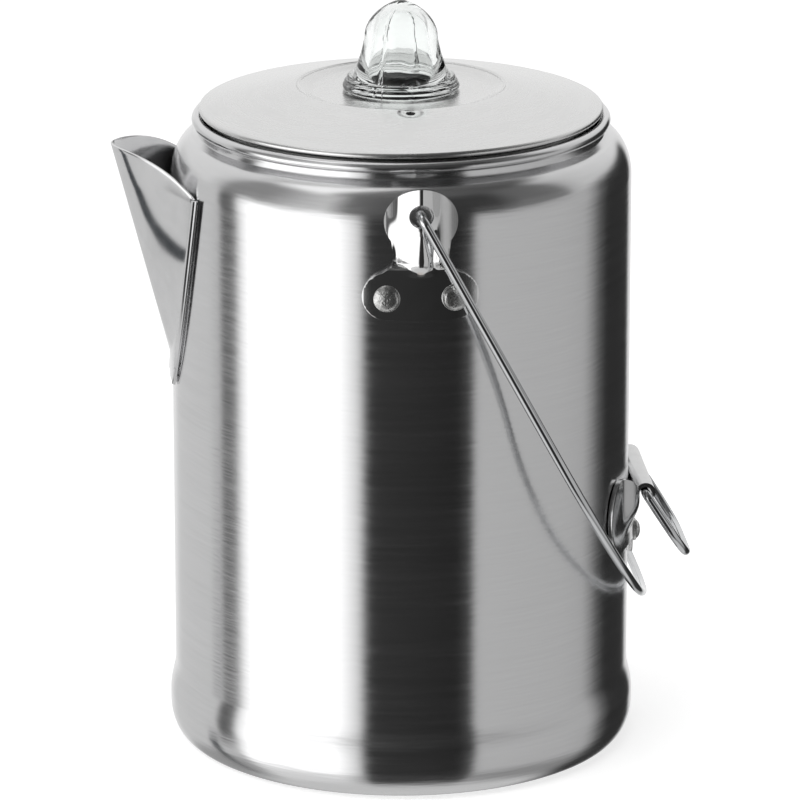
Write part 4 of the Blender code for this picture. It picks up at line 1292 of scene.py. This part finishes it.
@dataclass
class Pump:
    """The tube, its bell foot, the valve and the stop that carries the basket."""

    sheet: float = 0.8 * MM
    tube_wall: float = 0.6 * MM
    finish: Finish = TurnedAluminium("spun_pump", Slot.SPUN_ALUMINIUM, colour=(0.80, 0.80, 0.805), roughness=0.3)

    def ring(self, name: str, node: str, body: str, inner: float, finish: Finish) -> None:
        """Args:
            name: the piece's name.
            node: the CAD node that it replaces; its box gives the sizes.
            body: the CAD body that it moves with.
            inner: radius of its hole, or 0.
            finish: its surface.
        """
        low, high, outer = foot_of(node), top_of(node), radius_of(node)
        if inner:
            points = [(inner, high), (outer, high), (outer, low), (inner, low)]
        else:
            points = [(0.0, high), (outer, high), (outer, low), (0.0, low)]
        register(Workshop.lathe(name, points, 64, bool(inner), 0.12 * MM), body, finish, node)

    def build(self) -> None:
        """Build the pump and the valve disc."""
        bore = radius_of("pump_tube") - self.tube_wall
        self.ring("tube", "pump_tube", "pump", bore, self.finish)
        self.ring("seat_plate", "valve_seat", "pump", 3.5 * MM, self.finish)
        self.ring("stop_collar", "basket_stop", "pump", radius_of("pump_tube") + 0.3 * MM, self.finish)
        disc_finish = SheetMetal("valve_steel", Slot.POLISHED_STEEL, roughness=0.12)
        self.ring("flutter_disc", "valve_disc", "valve_disc", 0.0, disc_finish)
        self.bell()

    def bell(self) -> None:
        """Build the bell, with its notched foot."""
        low, high, radius = foot_of("pump_base"), top_of("pump_base"), radius_of("pump_base")
        collar = radius_of("pump_tube") + 0.3 * MM
        spine = [(collar, high), (collar, 16.0 * MM), (collar + 0.9 * MM, 14.4 * MM), (collar + 2.6 * MM, 13.2 * MM),
                 (0.50 * radius, 11.6 * MM), (0.62 * radius, 10.4 * MM), (0.78 * radius, 7.7 * MM),
                 (0.93 * radius, 4.7 * MM), (0.985 * radius, 3.6 * MM), (radius, low + 1.2 * MM), (radius, low)]
        outside = [(spot[0] + (self.sheet if spot[0] < radius / 3 else 0.0), spot[1]) for spot in spine]
        inside = [(spot[0] - (self.sheet if spot[0] >= radius / 3 else 0.0),
                   spot[1] - (self.sheet if low < spot[1] < high else 0.0)) for spot in spine]
        bell = Workshop.lathe("bell_foot", outside + inside[::-1], 96, closed=True)
        places = [(radius * math.cos(a), radius * math.sin(a), low)
                  for a in (math.radians(45 + 90 * turn) for turn in range(4))]
        for place in places:
            Workshop.drill(bell, [place], 2.6 * MM, 4 * self.sheet + 3 * MM, (place[0], place[1], 0.0))
        Workshop.smooth(bell)
        register(bell, "pump", self.finish, "pump_base")


@dataclass
class Basket:
    """The perforated basket with its sleeve, and its perforated cover."""

    sheet: float = 0.8 * MM
    corner: float = 4.0 * MM
    rim: float = 1.5 * MM
    gap: float = 0.3 * MM
    dish: float = 3.0 * MM
    collar: float = 4.0 * MM
    hole: float = 0.9 * MM
    finish: Finish = TurnedAluminium("spun_basket", Slot.SPUN_ALUMINIUM, colour=(0.80, 0.80, 0.805), roughness=0.3)

    def holes(self, height: float) -> list[Point3]:
        """Middles of the perforations at a height."""
        places = []
        for circle in range(5):
            radius = (14.0 + 5.2 * circle) * MM
            count = round(math.tau * radius / (5.6 * MM))
            for number in range(count):
                angle = math.tau * (number + 0.37 * circle + 0.11) / count
                places.append((radius * math.cos(angle), radius * math.sin(angle), height))
        return places

    def build(self) -> None:
        """Build the basket, its sleeve and its cover."""
        floor, top = foot_of("basket_body"), top_of("basket_body")
        outer = radius_of("basket_body") - self.rim
        bore = radius_of("pump_tube") + 0.4 * MM
        sleeve = bore + self.sheet
        body = [(outer - self.sheet, top - 0.3 * MM), (outer - self.sheet + 0.3 * MM, top),
                (outer + self.rim - 0.4 * MM, top), (outer + self.rim, top - 0.4 * MM),
                (outer + self.rim, top - self.rim + 0.3 * MM), (outer + self.rim - 0.3 * MM, top - self.rim),
                (outer, top - self.rim)]
        body += arc((outer - self.corner, floor + self.corner), (self.corner, self.corner), 0, -90, 10)
        body += [(sleeve + self.gap, floor), (sleeve + self.gap, floor + self.sheet)]
        inner = self.corner - self.sheet
        body += arc((outer - self.corner, floor + self.corner), (inner, inner), -90, 0, 10)
        basket = Workshop.lathe("basket_cup", body, 128, closed=True)
        Workshop.drill(basket, self.holes(floor), self.hole, 4 * MM)
        Workshop.smooth(basket)
        register(basket, "basket", self.finish, "basket_body")
        low, high, flange = foot_of("basket_sleeve"), top_of("basket_sleeve"), radius_of("basket_sleeve")
        points = [(bore, high), (sleeve, high), (sleeve, low + self.sheet), (flange, low + self.sheet),
                  (flange, low), (bore, low)]
        register(Workshop.lathe("basket_tube", points, 64, True, 0.12 * MM), "basket", self.finish, "basket_sleeve")
        low, high, edge = foot_of("basket_cover"), top_of("basket_cover"), radius_of("basket_cover")
        thick = self.sheet
        seat = low + self.dish
        rim = outer - thick - 2 * self.gap
        neck = sleeve + 0.4 * MM
        points = [(neck, high), (neck + thick, high), (neck + thick, low + 1.5 * MM), (neck + 1.6 * MM, low + thick),
                  (rim - 2.4 * MM, low + thick), (rim - 1.7 * MM, low + 1.2 * MM), (rim - thick, seat + 0.4 * MM),
                  (rim - 0.3 * MM, seat + thick), (edge, seat + thick), (edge, seat), (rim, seat),
                  (rim - thick, seat - 0.6 * MM), (rim - 1.4 * MM, low + 0.3 * MM), (rim - 2.0 * MM, low), (neck, low)]
        cover = Workshop.lathe("cover_plate", points, 128, closed=True)
        Workshop.drill(cover, self.holes(low), self.hole, 4 * MM)
        Workshop.smooth(cover)
        register(cover, "basket_cover", self.finish, "basket_cover")


# Studio

@dataclass
class Studio:
    """A pale floor, a backdrop that metal sees as cards and softboxes, and the camera."""

    distance: float = 1.70
    elevation: float = math.radians(16.73)
    azimuth: float = math.radians(-4.74)
    aim_height: float = 0.0956
    lens: float = 272.25
    shift_x: float = -0.00133
    card_top: float = 9.0
    canopy_top: float = 54.0
    card_foot: float = -27.0
    ground: float = -46.0
    glass_haze: float = 0.6
    strip_top: float = -18.8
    cards: Sequence[tuple[float, float]] = field(default_factory=lambda: (
        (-180.0, 0.92), (-166.0, 0.85), (-150.0, 0.62), (-104.0, 0.60), (-102.4, 0.47), (-100.0, 0.16),
        (-97.0, 0.11), (-93.0, 0.15), (-91.0, 0.24), (-88.8, 0.6), (-86.7, 1.0), (-80.0, 1.45), (-33.0, 1.45),
        (-28.0, 1.18), (-22.0, 0.82), (-20.6, 0.67), (-19.0, 0.42), (-17.5, 0.12), (-15.0, 0.035), (28.0, 0.02),
        (34.0, 0.05), (35.4, 0.13), (37.0, 0.36), (38.6, 0.52), (88.0, 0.47), (104.0, 0.43), (109.0, 0.32),
        (117.0, 0.10), (125.0, 0.025), (156.0, 0.03), (162.0, 0.75), (180.0, 0.92)))
    canopy: Sequence[tuple[float, float]] = field(default_factory=lambda: (
        (-180.0, 0.80), (-150.0, 0.76), (-116.0, 0.72), (-106.0, 0.55), (-99.0, 0.25), (-75.0, 0.26),
        (-55.0, 0.50), (-40.0, 0.60), (-28.0, 0.15), (0.0, 0.07), (30.0, 0.04), (52.0, 0.04), (66.0, 0.13),
        (92.0, 0.15), (98.0, 0.45), (108.0, 0.58), (135.0, 0.68), (155.0, 0.76), (180.0, 0.80)))
    ceiling: Sequence[tuple[float, float]] = field(default_factory=lambda: (
        (-180.0, 0.78), (-140.0, 0.75), (-118.0, 0.35), (-104.0, 1.1), (-58.0, 1.1), (-46.0, 0.15), (90.0, 0.08),
        (150.0, 0.15), (172.0, 0.72), (180.0, 0.78)))

    @staticmethod
    def ring(graph: Graph, share: Value, levels: Sequence[tuple[float, float]]) -> bpy.types.NodeSocket:
        """A grey that changes with the azimuth, from (degrees, level) pairs."""
        ramp = graph.node("ShaderNodeValToRGB", {"stops": [
            (angle / 360.0 + 0.5, (level, level, level)) for angle, level in levels]}, {"Fac": share})
        return ramp.outputs["Color"]

    def backdrop(self) -> None:
        """Shade the world: cards, a canopy and a ceiling by azimuth from the camera, and white to the camera."""
        world = bpy.data.worlds.new("studio")
        bpy.context.scene.world = world
        world.use_nodes = True
        graph = Graph(world.node_tree)
        direction = graph.node("ShaderNodeTexCoord", {}, {}).outputs["Generated"]
        parts = graph.node("ShaderNodeSeparateXYZ", {}, {"Vector": direction})
        x, y, z = (Value(graph, parts.outputs[axis]) for axis in "XYZ")
        turn = x.math("ARCTAN2", y * -1.0) * (180.0 / math.pi) - math.degrees(self.azimuth)
        share = (turn / 360.0 + 1.5).math("FRACT")
        rise = z.math("ARCSINE") * (180.0 / math.pi)
        seen = self.ring(graph, share, self.cards)
        low = 1.0 - rise.step(self.strip_top - 2.0, self.strip_top)
        beside = turn.step(-105.0, -103.5) * (1.0 - turn.step(-91.0, -88.0)) * low
        seen = graph.mix(beside, seen, (0.62, 0.62, 0.62, 1.0))
        strip = turn.step(-113.5, -112.0) * (1.0 - turn.step(-106.0, -104.5)) * low
        seen = graph.mix(strip, seen, (0.05, 0.055, 0.06, 1.0))
        dimmed = graph.mix(0.5, seen, (0.05, 0.05, 0.05, 1.0))
        seen = graph.mix(rise.step(self.card_foot - 8.0, self.card_foot), dimmed, seen)
        seen = graph.mix(rise.step(self.ground - 16.0, self.ground), (0.62, 0.62, 0.62, 1.0), seen)
        seen = graph.mix(rise.step(self.card_top - 4.0, self.card_top + 4.0), seen,
                         self.ring(graph, share, self.canopy))
        seen = graph.mix(rise.step(self.canopy_top - 6.0, self.canopy_top + 6.0), seen,
                         self.ring(graph, share, self.ceiling))
        path = graph.node("ShaderNodeLightPath", {}, {})
        through_glass = Value(graph, path.outputs["Is Transmission Ray"]) * self.glass_haze
        seen = graph.mix(through_glass, seen, (1.0, 1.0, 1.0, 1.0))
        seen = graph.mix(path.outputs["Is Camera Ray"], seen, (1.0, 1.0, 1.0, 1.0))
        light = graph.node("ShaderNodeBackground", {}, {"Color": seen, "Strength": 1.0})
        graph.node("ShaderNodeOutputWorld", {}, {"Surface": light.outputs["Background"]})

    def floor(self) -> None:
        """Lay the floor; reflections don't see it, so that the metal sees the cards right down to the ground."""
        Workshop.idle()
        bpy.ops.mesh.primitive_plane_add(size=12.0, location=(0.0, 0.0, -0.0002))
        floor = bpy.context.object
        floor.name = "floor"
        floor.data.materials.append(FloorPaint("pale_floor", Slot.SATIN_ALUMINIUM).build())
        floor.visible_glossy = False

    def lamp(self, name: str, place: Point3, size: float, power: float) -> None:
        """Hang a square soft light that shines at the pot."""
        Workshop.idle()
        turn = (Vector((0.0, 0.0, self.aim_height)) - Vector(place)).to_track_quat("-Z", "Y").to_euler()
        bpy.ops.object.light_add(type="AREA", location=place, rotation=turn)
        lamp = bpy.context.object
        lamp.name = name
        lamp.data.size = size
        lamp.data.energy = power
        lamp.visible_glossy = False
        lamp.visible_transmission = False

    def camera(self) -> None:
        """Set the camera in front of the pot."""
        Workshop.idle()
        back = Vector((math.sin(self.azimuth) * math.cos(self.elevation),
                       -math.cos(self.azimuth) * math.cos(self.elevation), math.sin(self.elevation)))
        place = Vector((0.0, 0.0, self.aim_height)) + back * self.distance
        bpy.ops.object.camera_add(location=place, rotation=(-back).to_track_quat("-Z", "Y").to_euler())
        camera = bpy.context.object
        camera.data.sensor_width = 36.0
        camera.data.lens = self.lens
        camera.data.shift_x = self.shift_x
        camera.data.clip_end = 50.0
        bpy.context.scene.camera = camera

    def build(self) -> None:
        """Set the whole stage."""
        self.backdrop()
        self.floor()
        self.lamp("top_softbox", (-0.25, -0.35, 1.1), 0.9, 5.0)
        self.camera()
        bpy.context.scene.view_settings.view_transform = "Standard"


def main() -> None:
    """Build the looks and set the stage."""
    logging.basicConfig(level=logging.INFO)
    pot = Pot()
    pot.build()
    Spout(pot).build()
    Lid().build()
    GlassKnob().build()
    Rivets(pot).build()
    ears = [Ear(pot, side) for side in (-1, 1)]
    for ear in ears:
        ear.build()
    pivot = top_of("bail_ear_front") - ears[0].eye_half_height + ears[0].eye_drop
    Bail(pot).build(pivot)
    axis = ring_axis(pot)
    RingBracket(pot).build(axis)
    TiltRing().build(axis)
    Pump().build()
    Basket().build()
    Studio().build()
    Workshop.idle()
    bpy.context.view_layer.update()


def ring_axis(pot: Pot) -> Point2:
    """Reach and height of the ring's hinge, from the frame's joint."""
    for joint in frame["joints"]:
        if joint["child"] == "tilt_ring":
            place = joint["pos_m"]
            return (place[0], place[2])
    raise ValueError("the frame has no joint for the tilt ring")


if __name__ == "__main__":
    main()
